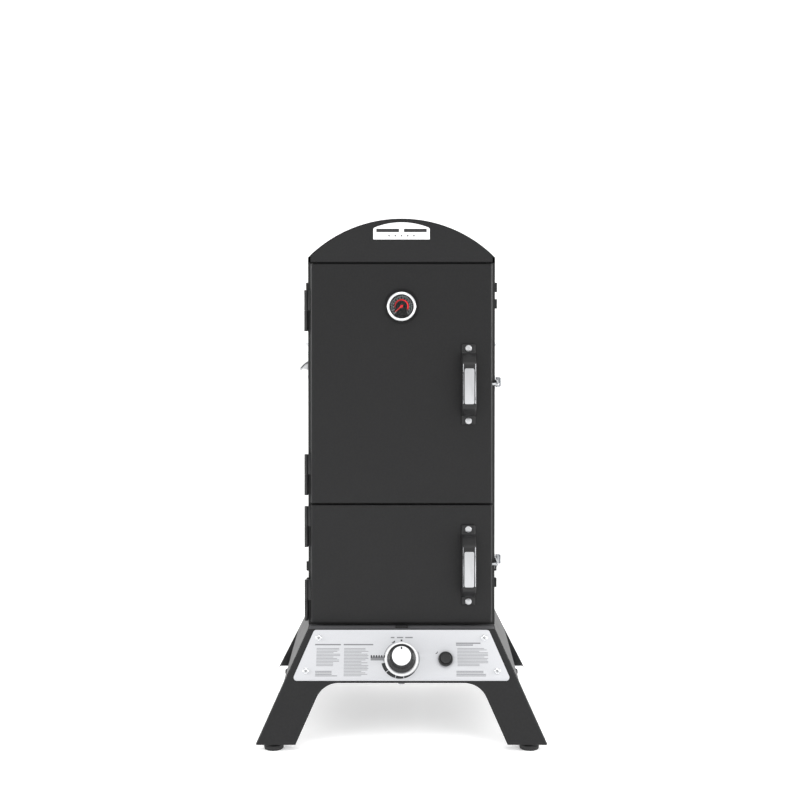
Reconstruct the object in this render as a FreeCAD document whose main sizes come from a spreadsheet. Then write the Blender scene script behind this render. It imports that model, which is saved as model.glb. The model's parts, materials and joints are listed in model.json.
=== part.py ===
"""Vertical cabinet gas smoker, full size, as an assembly of separate pieces.

Frame: millimetres, +Z up, the front of the smoker faces -Y and +X is the right hand side of
somebody standing in front of it. The origin is the middle of the footprint, on the floor.
"""
import FreeCAD, Part
import Sketcher
import math
import os
import re

V = FreeCAD.Vector

DIMENSIONS = {
    # base: a four-sided splayed pedestal of sheet metal
    "foot_height": 16, "foot_r": 23, "foot_in_x": 40.8, "foot_in_y": 23, "stud_r": 4, "tab": 46,
    "tab_t": 3, "tab_in": 2.2, "stud_top": 40, "hub_rise": 4,
    "leg_spread": 114.3, "leg_hy": 325, "deck_z": 255, "deck_inset": 1.5, "deck_hy": 200,
    "sheet": 1.5, "leg_w": 93, "arch_z": 141, "arch_r": 56, "arch_lean": 61, "return_w": 14,
    "flue_r": 55, "bumper_w": 30, "bumper_d": 16, "bumper_t": 4, "bumper_in": 6,
    # control plate, knob and igniter, measured down the slope of the front panel
    "plate_top": 3, "plate_bottom": 124, "plate_inset": 11.5, "plate_flare": 50,
    "plate_t": 2, "plate_r": 8, "control_d": 73, "knob_r": 34, "knob_cap_r": 22.5, "knob_gap": 7,
    "knob_rise": 30, "knob_cap_rise": 5, "stem_r": 4, "stem_bore": 4.06, "stem_hole": 6,
    "igniter_x": 105.6, "igniter_r": 17.25, "button_r": 12.5, "button_gap": 0.35,
    "button_rise": 13, "housing_rise": 9, "igniter_deep": 30, "barrel_hole_r": 15, "screw_r": 2.5,
    "screw_in_top": 15.4, "screw_d_top": 22.4, "screw_in_low": 36.3, "screw_d_low": 101.3,
    # gas train
    "valve_l": 44, "valve_d": 34, "valve_tall": 36, "valve_in": 50, "bonnet_r": 9, "inlet_r": 8,
    "inlet_l": 30, "tube_r": 11,
    "burner_y": 20, "burner_r": 62, "burner_tall": 20, "elbow_r": 26,
    "strap_w": 24, "strap_t": 3,
    # cabinet
    "cab_w": 456, "door_inset": 7, "mouth_inset": 23, "grid_inset": 25,
    "cab_front": 155, "cab_back": 195, "frame_t": 8, "seal_w": 9, "seal_t": 2.6,
    # doors
    "door_face": 175, "door_back": 158, "door_roll": 6,
    # hinges, all on one vertical axis beside the left wall
    "hinge_out": 4.4, "hinge_y": 165.5, "barrel_r": 4.5, "pin_r": 2.5, "pin_bore": 2.6,
    "barrel_l": 50, "leaf_t": 2, "leaf_l": 34, "hinge_gap": 0.4,
    # hood and badge
    "hood_r": 320, "fascia_drop": 0.5, "fascia_gap": 0.5, "badge_w": 137,
    "badge_r": 176, "badge_t": 1.6,
    # handles
    "handle_in": 58.4, "handle_screw": 88.1,
    "handle_half": 97.5, "handle_w": 33, "handle_out": 55, "handle_bar": 16, "handle_gap": 46,
    "handle_flange": 7, "insert_w": 23.5, "insert_tall": 85.5, "insert_t": 1.5,
    "handle_round": 9, "insert_r": 5, "dome_r": 7.5, "dome_rise": 3.5,
    # thermometer
    "case_r": 42.5, "bezel_r": 35.5, "dial_r": 29, "case_t": 3, "bezel_t": 12,
    "probe_r": 3.5, "probe_l": 70, "pointer_l": 21, "pointer_t": 1, "hub_r": 3,
    "post_r": 1.2, "pointer_rest": 220,
    # side fittings
    "seat_r": 47, "seat_t": 2, "disc_r": 37,
    "disc_t": 2, "disc_gap": 0.4, "vent_r": 8, "vent_ring": 22, "rivet_r": 3, "rivet_bore": 3.08,
    "damper_screw": 42.5, "grip_rise": 11, "grip_w": 5, "grip_in": 9, "grip_out": 33,
    "latch_y": 117, "keeper_r": 3, "keeper_out": 9, "latch_t": 4, "latch_reach": 49, "latch_tab": 17,
    "opener_y": 100, "opener_screw": 29, "nut_rise": 12,
    "opener_t": 3, "opener_w": 34, "opener_out": 24, "opener_hood": 24, "latch_plate": 36,
    # cooking gear
    "grid_pitch": 116, "grid_depth": 306, "grid_y": 22,
    "frame_rod": 6, "wire_r": 2, "wire_count": 27, "ledge_w": 30,
    "bowl_r": 150, "bowl_base_r": 105, "bowl_tall": 62, "bowl_t": 1.5,
    "rim_w": 9, "bar_w": 18, "bar_t": 3, "chip_w": 210, "chip_d": 150, "chip_tall": 42,
    "chip_t": 2.5, "lid_t": 2, "lid_gap": 0.4,
}

# Heights above the base's deck, which the whole cabinet stands on.
HEIGHTS = {
    "burner_z": 21, "cab_top": 885, "low_mouth_z": 29, "low_mouth_top": 277, "up_mouth_z": 321,
    "up_mouth_top": 863, "low_door_z": 9, "low_door_top": 296, "up_door_z": 301, "up_door_top": 882.5,
    "hinge_z_1": 62, "hinge_z_2": 242, "hinge_z_3": 369, "hinge_z_4": 769, "hood_z": 886.6,
    "crown_z": 993, "badge_z": 942, "badge_crown": 983.4, "up_handle_z": 590.2, "low_handle_z": 150,
    "gauge_z": 780, "up_damper_z": 802, "low_damper_z": 89, "opener_z": 632, "nut_z": 684,
    "grid_z_1": 393, "bowl_z": 248, "chip_z": 78,
}
DIMENSIONS.update({f"{name}_up": height for name, height in HEIGHTS.items()})

# Sizes worked out from the driving ones, each before those it is worked out from.
DERIVED = {
    "screw_x_top": "(D.plate_hx_top - D.screw_in_top)",
    "screw_x_low": "(D.plate_hx_bottom - D.screw_in_low)",
    "plate_hx_top": "(D.deck_hx - D.plate_inset)",
    "plate_hx_bottom": "(D.deck_hx - D.plate_inset + D.plate_flare)",
    "foot_x": "(D.leg_hx - D.foot_in_x)",
    "foot_y": "(D.leg_hy - D.foot_in_y)",
    "leg_hx": "(D.deck_hx + D.leg_spread)",
    "deck_hx": "(D.cab_w / 2 - D.deck_inset)",
    "handle_x": "(D.door_w / 2 - D.handle_in)",
    "door_w": "(D.cab_w - 2 * D.door_inset)",
    "mouth_w": "(D.cab_w - 2 * D.mouth_inset)",
    "grid_w": "(D.cab_w - 2 * D.grid_inset)",
    "hinge_x": "(D.cab_w / 2 + D.hinge_out)",
}
DERIVED.update({name: f"(D.deck_z + D.{name}_up)" for name in HEIGHTS})

doc = FreeCAD.newDocument("CabinetSmoker")
D = doc.addObject("Spreadsheet::Sheet", "D")
for row, (alias, number) in enumerate(DIMENSIONS.items(), start=1):
    D.set(f"A{row}", str(number))
    D.setAlias(f"A{row}", alias)
doc.recompute()

# The lean of the front and rear panels, and of the side skirts, away from vertical.
LEAN_Y = "atan((D.leg_hy - D.deck_hy) / (D.deck_z - D.foot_height))"
LEAN_X = "atan((D.leg_hx - D.deck_hx) / (D.deck_z - D.foot_height))"

nodes = []


def full(expression):
    """An expression with every derived size written out in driving ones."""
    text = str(expression)
    for name, meaning in DERIVED.items():
        text = re.sub(rf"\bD\.{name}\b", meaning, text)
    return text


def val(expression):
    """The number that an expression has now."""
    result = D.evalExpression(full(expression))
    return float(getattr(result, "Value", result))


def node(obj, label):
    """Keep an object as a sub-part, under the name that its file takes."""
    obj.Label = label
    nodes.append(obj)
    return obj


def place(obj, at, axis=None, angle=0):
    """Turn an object about one axis and bind its base point to three expressions."""
    if axis is not None:
        obj.Placement = FreeCAD.Placement(V(), FreeCAD.Rotation(axis, val(angle)))
    for letter, expression in zip("xyz", at):
        obj.setExpression(f"Placement.Base.{letter}", f"({full(expression)}) * 1 mm")
    return obj


def bind(obj, **sizes):
    """Bind an object's sizes to expressions."""
    for name, expression in sizes.items():
        obj.setExpression(name, f"({full(expression)}) * 1 mm")
    return obj


def box(name, corner, size):
    """A block from its lowest corner and its three sizes."""
    obj = doc.addObject("Part::Box", name)
    bind(obj, Length=size[0], Width=size[1], Height=size[2])
    return place(obj, corner)


AXES = {"x": (V(0, 1, 0), 90), "y": (V(1, 0, 0), -90), "z": (V(0, 0, 1), 0)}


def rod(name, radius, length, base, along="z"):
    """A round bar from the middle of one end, running towards +X, +Y or +Z."""
    obj = doc.addObject("Part::Cylinder", name)
    bind(obj, Radius=radius, Height=length)
    axis, angle = AXES[along]
    return place(obj, base, axis, angle)


def joined(name, pieces):
    """Several overlapping or touching shapes welded into one."""
    obj = doc.addObject("Part::MultiFuse", name)
    obj.Shapes = pieces
    obj.Refine = True
    return obj


def group(name, pieces):
    """Separate solids that share one node."""
    obj = doc.addObject("Part::Compound", name)
    obj.Links = pieces
    return obj


def cut(name, base, tools):
    """A shape less one or more others."""
    obj = doc.addObject("Part::Cut", name)
    obj.Base = base
    obj.Tool = tools[0] if len(tools) == 1 else joined(f"{name}_tools", tools)
    return obj


def common(name, first, second):
    """What two shapes share."""
    obj = doc.addObject("Part::Common", name)
    obj.Base = first
    obj.Tool = second
    return obj


def mirrored(name, source, normal):
    """The other hand of a shape, across a plane through the origin."""
    obj = doc.addObject("Part::Mirroring", name)
    obj.Source = source
    obj.Normal = normal
    return obj


def moved(name, source, at):
    """A copy of a shape at another place."""
    return place(group(name, [source]), at)


def both_sides(name, source):
    """A shape and its mirror image across the middle plane, as one node."""
    return group(name, [source, mirrored(f"{name}_other", source, V(1, 0, 0))])


def outline(body, plane, points, name):
    """A closed sketch through points whose coordinates are bound to expressions."""
    sketch = body.newObject("Sketcher::SketchObject", name)
    support = next(f for f in body.Origin.OriginFeatures if f.Role == plane)
    sketch.AttachmentSupport = (support, [""])
    sketch.MapMode = "FlatFace"
    at = [V(val(x), val(y), 0) for x, y in points]
    for start, end in zip(at, at[1:] + at[:1]):
        sketch.addGeometry(Part.LineSegment(start, end), False)
    for index, point in enumerate(points):
        before = (index - 1) % len(points)
        sketch.addConstraint(Sketcher.Constraint("Coincident", before, 2, index, 1))
        for kind, expression, value in zip(("DistanceX", "DistanceY"), point, at[index]):
            row = sketch.addConstraint(Sketcher.Constraint(kind, -1, 1, index, 1, value))
            sketch.setExpression(f"Constraints[{row}]", f"({full(expression)}) * 1 mm")
    return sketch


def round_corners(body, corners, radius, name):
    """Fillet the edges of a padded outline that stand on the given corners."""
    doc.recompute()
    last = body.Tip
    wanted = [V(val(x), val(y), 0) for x, y in corners]
    names = []
    for index, edge in enumerate(last.Shape.Edges, start=1):
        ends = [v.Point for v in edge.Vertexes]
        if len(ends) != 2 or abs(ends[0].z - ends[1].z) < 1e-6:
            continue
        if any(math.hypot(ends[0].x - p.x, ends[0].y - p.y) < 1e-4 for p in wanted):
            names.append(f"Edge{index}")
    fillet = body.newObject("PartDesign::Fillet", f"{name}_fillet")
    fillet.Base = (last, names)
    bind(fillet, Radius=radius)


def plate(name, points, thickness, corners=(), radius="0"):
    """A flat outline padded upwards, lying in its own XY plane."""
    body = doc.addObject("PartDesign::Body", name)
    sketch = outline(body, "XY_Plane", points, f"{name}_outline")
    pad = body.newObject("PartDesign::Pad", f"{name}_pad")
    pad.Profile = sketch
    bind(pad, Length=thickness)
    sketch.Visibility = False
    if corners:
        round_corners(body, corners, radius, name)
    return body


def turned(name, profile):
    """A turned piece: a half section of (radius, height) points spun about its own Z axis."""
    body = doc.addObject("PartDesign::Body", name)
    sketch = outline(body, "XZ_Plane", profile, f"{name}_section")
    spin = body.newObject("PartDesign::Revolution", f"{name}_spin")
    spin.Profile = sketch
    spin.ReferenceAxis = (sketch, ["V_Axis"])
    spin.Angle = 360
    return body


def rectangle(x0, y0, x1, y1):
    """The four corners of a rectangle, as expressions."""
    return [(x0, y0), (x1, y0), (x1, y1), (x0, y1)]


def on_slope(obj, x, down, out, rear=False):
    """Lie an object on the front (or rear) slope: x across, down from its top edge, out from its face."""
    lean = val(LEAN_Y)
    turn = lean - 90 if rear else 90 - lean
    side = 1 if rear else -1
    y = f"{side} * (D.deck_hy + ({down}) * sin({LEAN_Y}) + ({out}) * cos({LEAN_Y}))"
    z = f"D.deck_z - ({down}) * cos({LEAN_Y}) + ({out}) * sin({LEAN_Y})"
    return place(obj, (x, y, z), V(1, 0, 0), turn)


def slope_run(z):
    """The distance down the front slope at which it reaches a height."""
    return f"(D.deck_z - ({z})) / cos({LEAN_Y})"


# ---------------------------------------------------------------- base


def leg_panel(name, rear):
    """An A-shaped end panel: a sloped sheet whose two lower corners are the legs."""
    sign = 1 if rear else -1
    foot = f"{sign} * ({slope_run('D.foot_height')})"
    arch = f"{sign} * ({slope_run('D.arch_z')})"
    inner = "(D.leg_hx - D.leg_w)"
    shoulder = f"({inner} - D.arch_lean)"
    points = [
        ("-D.deck_hx", "0"), ("-D.leg_hx", foot), (f"-{inner}", foot), (f"-{shoulder}", arch),
        (shoulder, arch), (inner, foot), ("D.leg_hx", foot), ("D.deck_hx", "0"),
    ]
    arch_corners = [points[3], points[4]]
    return on_slope(plate(name, points, "D.sheet", arch_corners, "D.arch_r"), "0", "0", "-D.sheet", rear)


def skirt_frame(obj, out):
    """Lie an object on the right hand slope: its own x runs to the back, its own y up the slope."""
    lean = val(LEAN_X)
    facing = FreeCAD.Rotation(V(0, 0, 1), 90) * FreeCAD.Rotation(V(1, 0, 0), 90 - lean)
    obj.Placement = FreeCAD.Placement(V(), facing)
    at = (f"D.deck_hx + ({out}) * cos({LEAN_X})", "0", f"D.deck_z + ({out}) * sin({LEAN_X})")
    return place(obj, at)


def side_run(z):
    """The distance down a side slope at which it reaches a height."""
    return f"(D.deck_z - ({z})) / cos({LEAN_X})"


def return_strip(name, sign):
    """The narrow bend along a leg panel's slanted edge, lying in the side slope."""
    foot = f"-({side_run('D.foot_height')})"
    points = [
        (f"{sign} * D.deck_hy", "0"), (f"{sign} * D.leg_hy", foot),
        (f"{sign} * (D.leg_hy - D.return_w)", foot), (f"{sign} * (D.deck_hy - D.return_w)", "0"),
    ]
    return skirt_frame(plate(name, points, "D.sheet"), "-D.sheet")


def foot_tab(name, sign):
    """The small level flange at the bottom of a leg that the foot's stud screws through."""
    reach = "(D.tab / 2)"
    low_y = f"D.foot_y - {reach}" if sign > 0 else f"-D.foot_y - {reach} + D.tab_in"
    corner = (f"D.foot_x - {reach}", low_y, "D.foot_height")
    return box(name, corner, (f"2 * {reach}", f"2 * {reach} - D.tab_in", "D.tab_t"))


def end_panel(name, rear):
    """A leg panel with its two returns and foot tabs, all bent from one sheet."""
    sign = 1 if rear else -1
    strip = return_strip(f"{name}_return", sign)
    tab = cut(f"{name}_tab_drilled", foot_tab(f"{name}_tab", sign), [
        rod(f"{name}_stud_hole", "D.stud_r", "D.stud_top", ("D.foot_x", f"{sign} * D.foot_y", "0")),
    ])
    pieces = [
        leg_panel(f"{name}_sheet", rear), strip, tab,
        mirrored(f"{name}_return_left", strip, V(1, 0, 0)), mirrored(f"{name}_tab_left", tab, V(1, 0, 0)),
    ]
    return joined(name, pieces)


def slope_rod(name, radius, x, down, low, high):
    """A round bar square to the front slope, between two heights above its face."""
    obj = doc.addObject("Part::Cylinder", name)
    bind(obj, Radius=radius, Height=f"({high}) - ({low})")
    return on_slope(obj, x, down, low)


def half_depth(z):
    """How far in front of or behind the middle the end panels are at a height."""
    return f"(D.deck_hy + (D.deck_z - ({z})) * tan({LEAN_Y}))"


def side_skirt(name):
    """A plain sloped side sheet between the two returns, from the deck to the top of the arch."""
    low = f"-({side_run('D.arch_z')})"
    top_y = "(D.deck_hy - D.return_w)"
    low_y = f"({half_depth('D.arch_z')} - D.return_w)"
    points = [(f"-{top_y}", "0"), (f"-{low_y}", low), (low_y, low), (top_y, "0")]
    return skirt_frame(plate(name, points, "D.sheet"), "-D.sheet")


def deck():
    """The level sheet that closes the top of the base, with a hole for the burner tube and air."""
    half_x = "(D.deck_hx - D.sheet)"
    half_y = "(D.deck_hy - D.sheet)"
    corner = (f"-{half_x}", f"-{half_y}", "D.deck_z - D.sheet")
    sheet = box("deck_sheet", corner, (f"2 * {half_x}", f"2 * {half_y}", "D.sheet"))
    return cut("deck", sheet, [flue_hole("deck_flue")])


def flue_hole(name):
    """The round way through the deck and the cabinet floor."""
    return rod(name, "D.flue_r", "20", ("0", "D.burner_y", "D.deck_z - 10"))


def levelling_foot():
    """A foot turned with its stud, and the lock nut above the tab."""
    profile = [
        ("0", "0"), ("D.foot_r - 2", "0"), ("D.foot_r", "2"), ("D.foot_r", "D.foot_height - D.hub_rise - 1"),
        ("D.foot_r - 8", "D.foot_height - D.hub_rise"), ("D.foot_r - 10", "D.foot_height"),
        ("D.stud_r", "D.foot_height"), ("D.stud_r", "D.foot_height + D.tab_t"),
        ("D.stud_r + 3", "D.foot_height + D.tab_t"), ("D.stud_r + 3", "D.foot_height + D.tab_t + 6"),
        ("D.stud_r", "D.foot_height + D.tab_t + 6"), ("D.stud_r", "D.stud_top"), ("0", "D.stud_top"),
    ]
    return turned("foot", profile)


def four_feet():
    """A levelling foot under each leg."""
    foot = levelling_foot()
    spots = [(x, y) for x in ("D.foot_x", "-D.foot_x") for y in ("D.foot_y", "-D.foot_y")]
    return group("feet", [moved(f"foot_{i}", foot, (x, y, "0")) for i, (x, y) in enumerate(spots)])


def dome_screw(name, shank_r, shank_l):
    """A dome-headed screw, its head sitting on the XY plane."""
    profile = [
        ("0", f"-({shank_l})"), (shank_r, f"-({shank_l})"), (shank_r, "0"), ("D.dome_r", "0"),
        ("D.dome_r * 0.8", "D.dome_rise * 0.7"), ("D.dome_r * 0.4", "D.dome_rise"), ("0", "D.dome_rise"),
    ]
    return turned(name, profile)


# ---------------------------------------------------------------- controls and gas

PLATE_SCREWS = [
    (f"{side} * D.screw_x_{row}", f"D.screw_d_{row}") for row in ("top", "low") for side in (-1, 1)
]


def control_holes(name):
    """The holes through the front slope for the valve stem, the igniter and the plate screws."""
    low, high = "-D.plate_t * 4", "D.plate_t * 4"
    holes = [
        slope_rod(f"{name}_stem_hole", "D.bonnet_r", "0", "D.control_d", low, high),
        slope_rod(f"{name}_igniter_hole", "D.barrel_hole_r", "D.igniter_x", "D.control_d", low, high),
    ]
    for i, (x, down) in enumerate(PLATE_SCREWS):
        holes.append(slope_rod(f"{name}_screw_hole_{i}", "D.screw_r", x, down, low, high))
    return holes


def control_plate():
    """The bright trapezoid plate that carries the controls' markings."""
    points = [
        ("-D.plate_hx_top", "-D.plate_top"), ("-D.plate_hx_bottom", "-D.plate_bottom"),
        ("D.plate_hx_bottom", "-D.plate_bottom"), ("D.plate_hx_top", "-D.plate_top"),
    ]
    sheet = on_slope(plate("control_sheet", points, "D.plate_t", points, "D.plate_r"), "0", "0", "0")
    return cut("control_plate", sheet, control_holes("plate"))


def plate_screws():
    """The four screws at the corners of the control plate."""
    screws = []
    for i, (x, down) in enumerate(PLATE_SCREWS):
        screw = dome_screw(f"plate_screw_{i}", "D.screw_r", "D.plate_t + D.sheet + 3")
        screws.append(on_slope(screw, x, down, "D.plate_t"))
    return group("plate_screws", screws)


def gas_valve():
    """The valve block behind the front slope, its bonnet and the threaded inlet below it."""
    back = f"(D.deck_hy + D.control_d * sin({LEAN_Y}) - D.valve_in * cos({LEAN_Y}))"
    height = f"(D.deck_z - D.control_d * cos({LEAN_Y}) - D.valve_in * sin({LEAN_Y}))"
    corner = ("-D.valve_l / 2", f"-{back} - D.valve_d / 2", f"{height} - D.valve_tall / 2")
    block = box("valve_block", corner, ("D.valve_l", "D.valve_d", "D.valve_tall"))
    bonnet = slope_rod("valve_bonnet", "D.bonnet_r", "0", "D.control_d", "-D.valve_in", "D.plate_t")
    inlet_low = f"{height} - D.valve_tall / 2 - D.inlet_l"
    inlet = rod("valve_inlet", "D.inlet_r", "D.inlet_l", ("0", f"-{back}", inlet_low))
    bore = slope_rod("valve_bore", "D.stem_bore", "0", "D.control_d", "-D.valve_in", "D.plate_t * 2")
    return cut("gas_valve", joined("valve_whole", [block, bonnet, inlet]), [bore])


def knob_skirt():
    """The black knob body: a wide skirt that narrows to the seat of its cap."""
    top = "D.knob_gap + D.knob_rise"
    profile = [
        ("D.stem_bore", "D.knob_gap"), ("D.knob_r - 1", "D.knob_gap"), ("D.knob_r", "D.knob_gap + 1"),
        ("D.knob_r", "D.knob_gap + 7"), ("D.knob_r - 7", "D.knob_gap + 13"),
        ("D.knob_cap_r + 2", top), ("0", top), ("0", f"{top} - 10"), ("D.stem_bore", f"{top} - 10"),
    ]
    return on_slope(turned("knob_skirt", profile), "0", "D.control_d", "0")


def knob_cap():
    """The bright disc let on to the knob's face."""
    low = "D.knob_gap + D.knob_rise"
    profile = [
        ("0", low), ("D.knob_cap_r", low), ("D.knob_cap_r", f"{low} + D.knob_cap_rise - 1.5"),
        ("D.knob_cap_r - 1.5", f"{low} + D.knob_cap_rise"), ("0", f"{low} + D.knob_cap_rise"),
    ]
    return on_slope(turned("knob_cap", profile), "0", "D.control_d", "0")


def valve_stem():
    """The stem that the knob is pushed and turned on."""
    low = "-D.valve_in + D.stem_hole"
    high = "D.knob_gap + D.knob_rise - 10.5"
    return slope_rod("valve_stem", "D.stem_r", "0", "D.control_d", low, high)


def igniter_housing():
    """The igniter's barrel and its round bezel on the control plate."""
    bore = "D.button_r + D.button_gap"
    profile = [
        ("0", "-D.igniter_deep"), ("D.barrel_hole_r", "-D.igniter_deep"), ("D.barrel_hole_r", "D.plate_t"),
        ("D.igniter_r", "D.plate_t"), ("D.igniter_r", "D.housing_rise - 1.5"),
        ("D.igniter_r - 1.5", "D.housing_rise"), (bore, "D.housing_rise"), (bore, "-D.igniter_deep + 2"),
        ("0", "-D.igniter_deep + 2"),
    ]
    return on_slope(turned("igniter_housing", profile), "D.igniter_x", "D.control_d", "0")


def igniter_button():
    """The push button inside the igniter's bezel."""
    profile = [
        ("0", "-D.igniter_deep + 10"), ("D.button_r", "-D.igniter_deep + 10"),
        ("D.button_r", "D.button_rise - 1"), ("D.button_r - 1", "D.button_rise"), ("0", "D.button_rise"),
    ]
    return on_slope(turned("igniter_button", profile), "D.igniter_x", "D.control_d", "0")


def burner_tube():
    """The gas tube from the back of the valve, round one elbow and up to the burner."""
    rear = f"(D.deck_hy + D.control_d * sin({LEAN_Y}) - D.valve_in * cos({LEAN_Y}) - D.valve_d / 2)"
    height = f"(D.deck_z - D.control_d * cos({LEAN_Y}) - D.valve_in * sin({LEAN_Y}))"
    level = rod("tube_level", "D.tube_r", f"{rear} + D.burner_y - D.elbow_r", ("0", f"-{rear}", height), "y")
    elbow = doc.addObject("Part::Torus", "tube_elbow")
    bind(elbow, Radius1="D.elbow_r", Radius2="D.tube_r")
    elbow.Angle3 = 90
    place(elbow, ("0", "D.burner_y - D.elbow_r", f"{height} + D.elbow_r"), V(0, 1, 0), 90)
    rise = rod("tube_rise", "D.tube_r", f"D.burner_z - ({height} + D.elbow_r)",
               ("0", "D.burner_y", f"{height} + D.elbow_r"))
    return joined("burner_tube", [level, elbow, rise])


def burner_head():
    """The round cast burner, on the collar and strap that stand it over the floor's hole."""
    profile = [
        ("0", "0"), ("D.burner_r - 4", "0"), ("D.burner_r", "4"), ("D.burner_r", "D.burner_tall - 6"),
        ("D.burner_r - 12", "D.burner_tall"), ("0", "D.burner_tall"),
    ]
    head = place(turned("burner_disc", profile), ("0", "D.burner_y", "D.burner_z"))
    floor = "D.deck_z + D.sheet"
    collar = rod("burner_collar", "D.tube_r + 3", f"D.burner_z - ({floor})", ("0", "D.burner_y", floor))
    half = "(D.flue_r + 22)"
    strap = box("burner_strap", (f"-{half}", "D.burner_y - D.strap_w / 2", floor),
                (f"2 * {half}", "D.strap_w", "D.strap_t"))
    bore = rod("burner_bore", "D.tube_r", f"D.burner_z - ({floor})", ("0", "D.burner_y", floor))
    return cut("burner_head", joined("burner_whole", [head, collar, strap]), [bore])


# ---------------------------------------------------------------- cabinet

WALL = "(D.cab_w / 2 - D.sheet)"
FLOOR = "(D.deck_z + D.sheet)"
DAMPERS = {"upper": "D.up_damper_z", "lower": "D.low_damper_z"}
HINGES = ("D.hinge_z_1", "D.hinge_z_2", "D.hinge_z_3", "D.hinge_z_4")


def side_rods(name, radius, spots, low, high):
    """Round bars square to the left wall, between two distances outside it."""
    start = f"-D.cab_w / 2 - ({high})"
    return [
        rod(f"{name}_{i}", radius, f"({high}) - ({low})", (start, y, z), "x")
        for i, (y, z) in enumerate(spots)
    ]


DAMPER_SCREWS = [("0", f"{z} {sign} D.damper_screw") for z in DAMPERS.values() for sign in "+-"]
OPENER_SCREWS = [("-D.opener_y", f"D.opener_z {sign} D.opener_screw") for sign in "+-"]


def side_wall(name, with_opener):
    """A side sheet of the cabinet, left hand, with its damper windows and screw holes."""
    corner = ("-D.cab_w / 2", "-D.cab_front", "D.deck_z")
    sheet = box(f"{name}_sheet", corner, ("D.sheet", "D.cab_front + D.cab_back", "D.cab_top - D.deck_z"))
    windows = side_rods(f"{name}_window", "D.disc_r - 4", [("0", z) for z in DAMPERS.values()], "-5", "5")
    screws = side_rods(f"{name}_screw", "D.screw_r", DAMPER_SCREWS, "-5", "5")
    nuts = side_rods(f"{name}_stud", "D.screw_r", [("-D.opener_y", "D.nut_z")], "-5", "5")
    if with_opener:
        screws += side_rods(f"{name}_opener", "D.screw_r", OPENER_SCREWS, "-5", "5")
    return cut(name, sheet, windows + screws + nuts)


def cross_sheet(name, y0, y1, z0, z1):
    """A sheet that spans the cabinet between its side walls."""
    return box(name, (f"-{WALL}", y0, z0), (f"2 * {WALL}", f"({y1}) - ({y0})", f"({z1}) - ({z0})"))


def mouth(name, spread, y0, y1, low, high):
    """The block of air through one door opening, widened all round by a margin."""
    corner = (f"-D.mouth_w / 2 - {spread}", y0, f"{low} - {spread}")
    size = (f"D.mouth_w + 2 * {spread}", f"({y1}) - ({y0})", f"{high} - ({low}) + 2 * {spread}")
    return box(name, corner, size)


MOUTHS = {"lower": ("D.low_mouth_z", "D.low_mouth_top"), "upper": ("D.up_mouth_z", "D.up_mouth_top")}


def front_frame():
    """The frame behind the doors, with an opening for each chamber."""
    plain = cross_sheet("frame_sheet", "-D.cab_front", "D.frame_t - D.cab_front", FLOOR, "D.cab_top")
    front, rear = "-D.cab_front - 1", "D.frame_t - D.cab_front + 1"
    holes = [mouth(f"frame_{name}", "0", front, rear, *heights) for name, heights in MOUTHS.items()]
    return cut("front_frame", plain, holes)


def door_seals():
    """The soft seal round each opening, just short of the closed door."""
    seals = []
    for n, m in MOUTHS.items():
        outer = mouth(f"seal_{n}_outer", "D.seal_w", "-D.cab_front - D.seal_t", "-D.cab_front", *m)
        inner = mouth(f"seal_{n}_inner", "0", "-D.cab_front - D.seal_t - 1", "-D.cab_front + 1", *m)
        seals.append(cut(f"seal_{n}", outer, [inner]))
    return group("door_seals", seals)


def floor_pan():
    """The cabinet's floor, with the same hole as the deck below it."""
    sheet = cross_sheet("floor_sheet", "-D.cab_front", "D.cab_back", "D.deck_z", FLOOR)
    return cut("floor_pan", sheet, [flue_hole("floor_flue")])


HOOD_AXIS = "(D.crown_z - D.sheet - D.hood_r)"


def arched(name, half_width, radius, y0, y1, low):
    """A block with straight sides and an arched top that follows the hood."""
    block = box(f"{name}_block", (f"-({half_width})", y0, low),
                (f"2 * ({half_width})", f"({y1}) - ({y0})", f"D.crown_z - ({low}) + 5"))
    arch = rod(f"{name}_arch", radius, f"({y1}) - ({y0})", ("0", y0, HOOD_AXIS), "y")
    return common(name, block, arch)


def hood_top():
    """The arched top sheet with its side flanges and the back sheet welded in."""
    front = "D.fascia_gap - D.door_back"
    outer = arched("hood_outer", "D.cab_w / 2", "D.hood_r + D.sheet", front, "D.cab_back", "D.cab_top")
    inner = arched("hood_inner", WALL, "D.hood_r", f"{front} - 1", "D.cab_back - D.sheet", "D.cab_top - 1")
    return cut("hood_top", outer, [inner])


def rolled_block(name, inset, low, high):
    """A block the shape of a door pan in plan, its two front edges rolled over."""
    half = f"(D.door_w / 2 - {inset})"
    front = f"(-D.door_face + {inset})"
    back = "-D.door_back" if inset == "0" else "(1 - D.door_back)"
    points = rectangle(f"-{half}", front, half, back)
    body = plate(name, points, f"({high}) - ({low})", points[:2], f"D.door_roll - {inset}")
    return place(body, ("0", "0", low))


def pan(name, low, high):
    """A shallow pressed pan, open at the back."""
    outer = rolled_block(f"{name}_outer", "0", low, high)
    inner = rolled_block(f"{name}_inner", "D.sheet", f"{low} + D.sheet", f"{high} - D.sheet")
    return outer, inner


def hood_fascia():
    """The front of the hood: a pan like the doors, with its top cut to the arch."""
    outer, inner = pan("fascia", "D.hood_z", "D.crown_z")
    shell = []
    for part, drop in ((outer, "D.fascia_drop"), (inner, "(D.fascia_drop + D.sheet)")):
        radius = f"D.hood_r + D.sheet - {drop}"
        arch = rod(f"{part.Name}_arch", radius, "D.door_face", ("0", "-D.door_face", HOOD_AXIS), "y")
        shell.append(common(f"{part.Name}_cut", part, arch))
    return cut("hood_fascia", shell[0], [shell[1]])


def facing_front(obj, at, spin="0"):
    """Turn an object so that its own Z points out of the front and its own Y up."""
    place(obj, at, V(1, 0, 0), 90)
    if spin != "0":
        obj.Placement.Rotation = FreeCAD.Rotation(V(0, 1, 0), val(spin)) * obj.Placement.Rotation
    return obj


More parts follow.
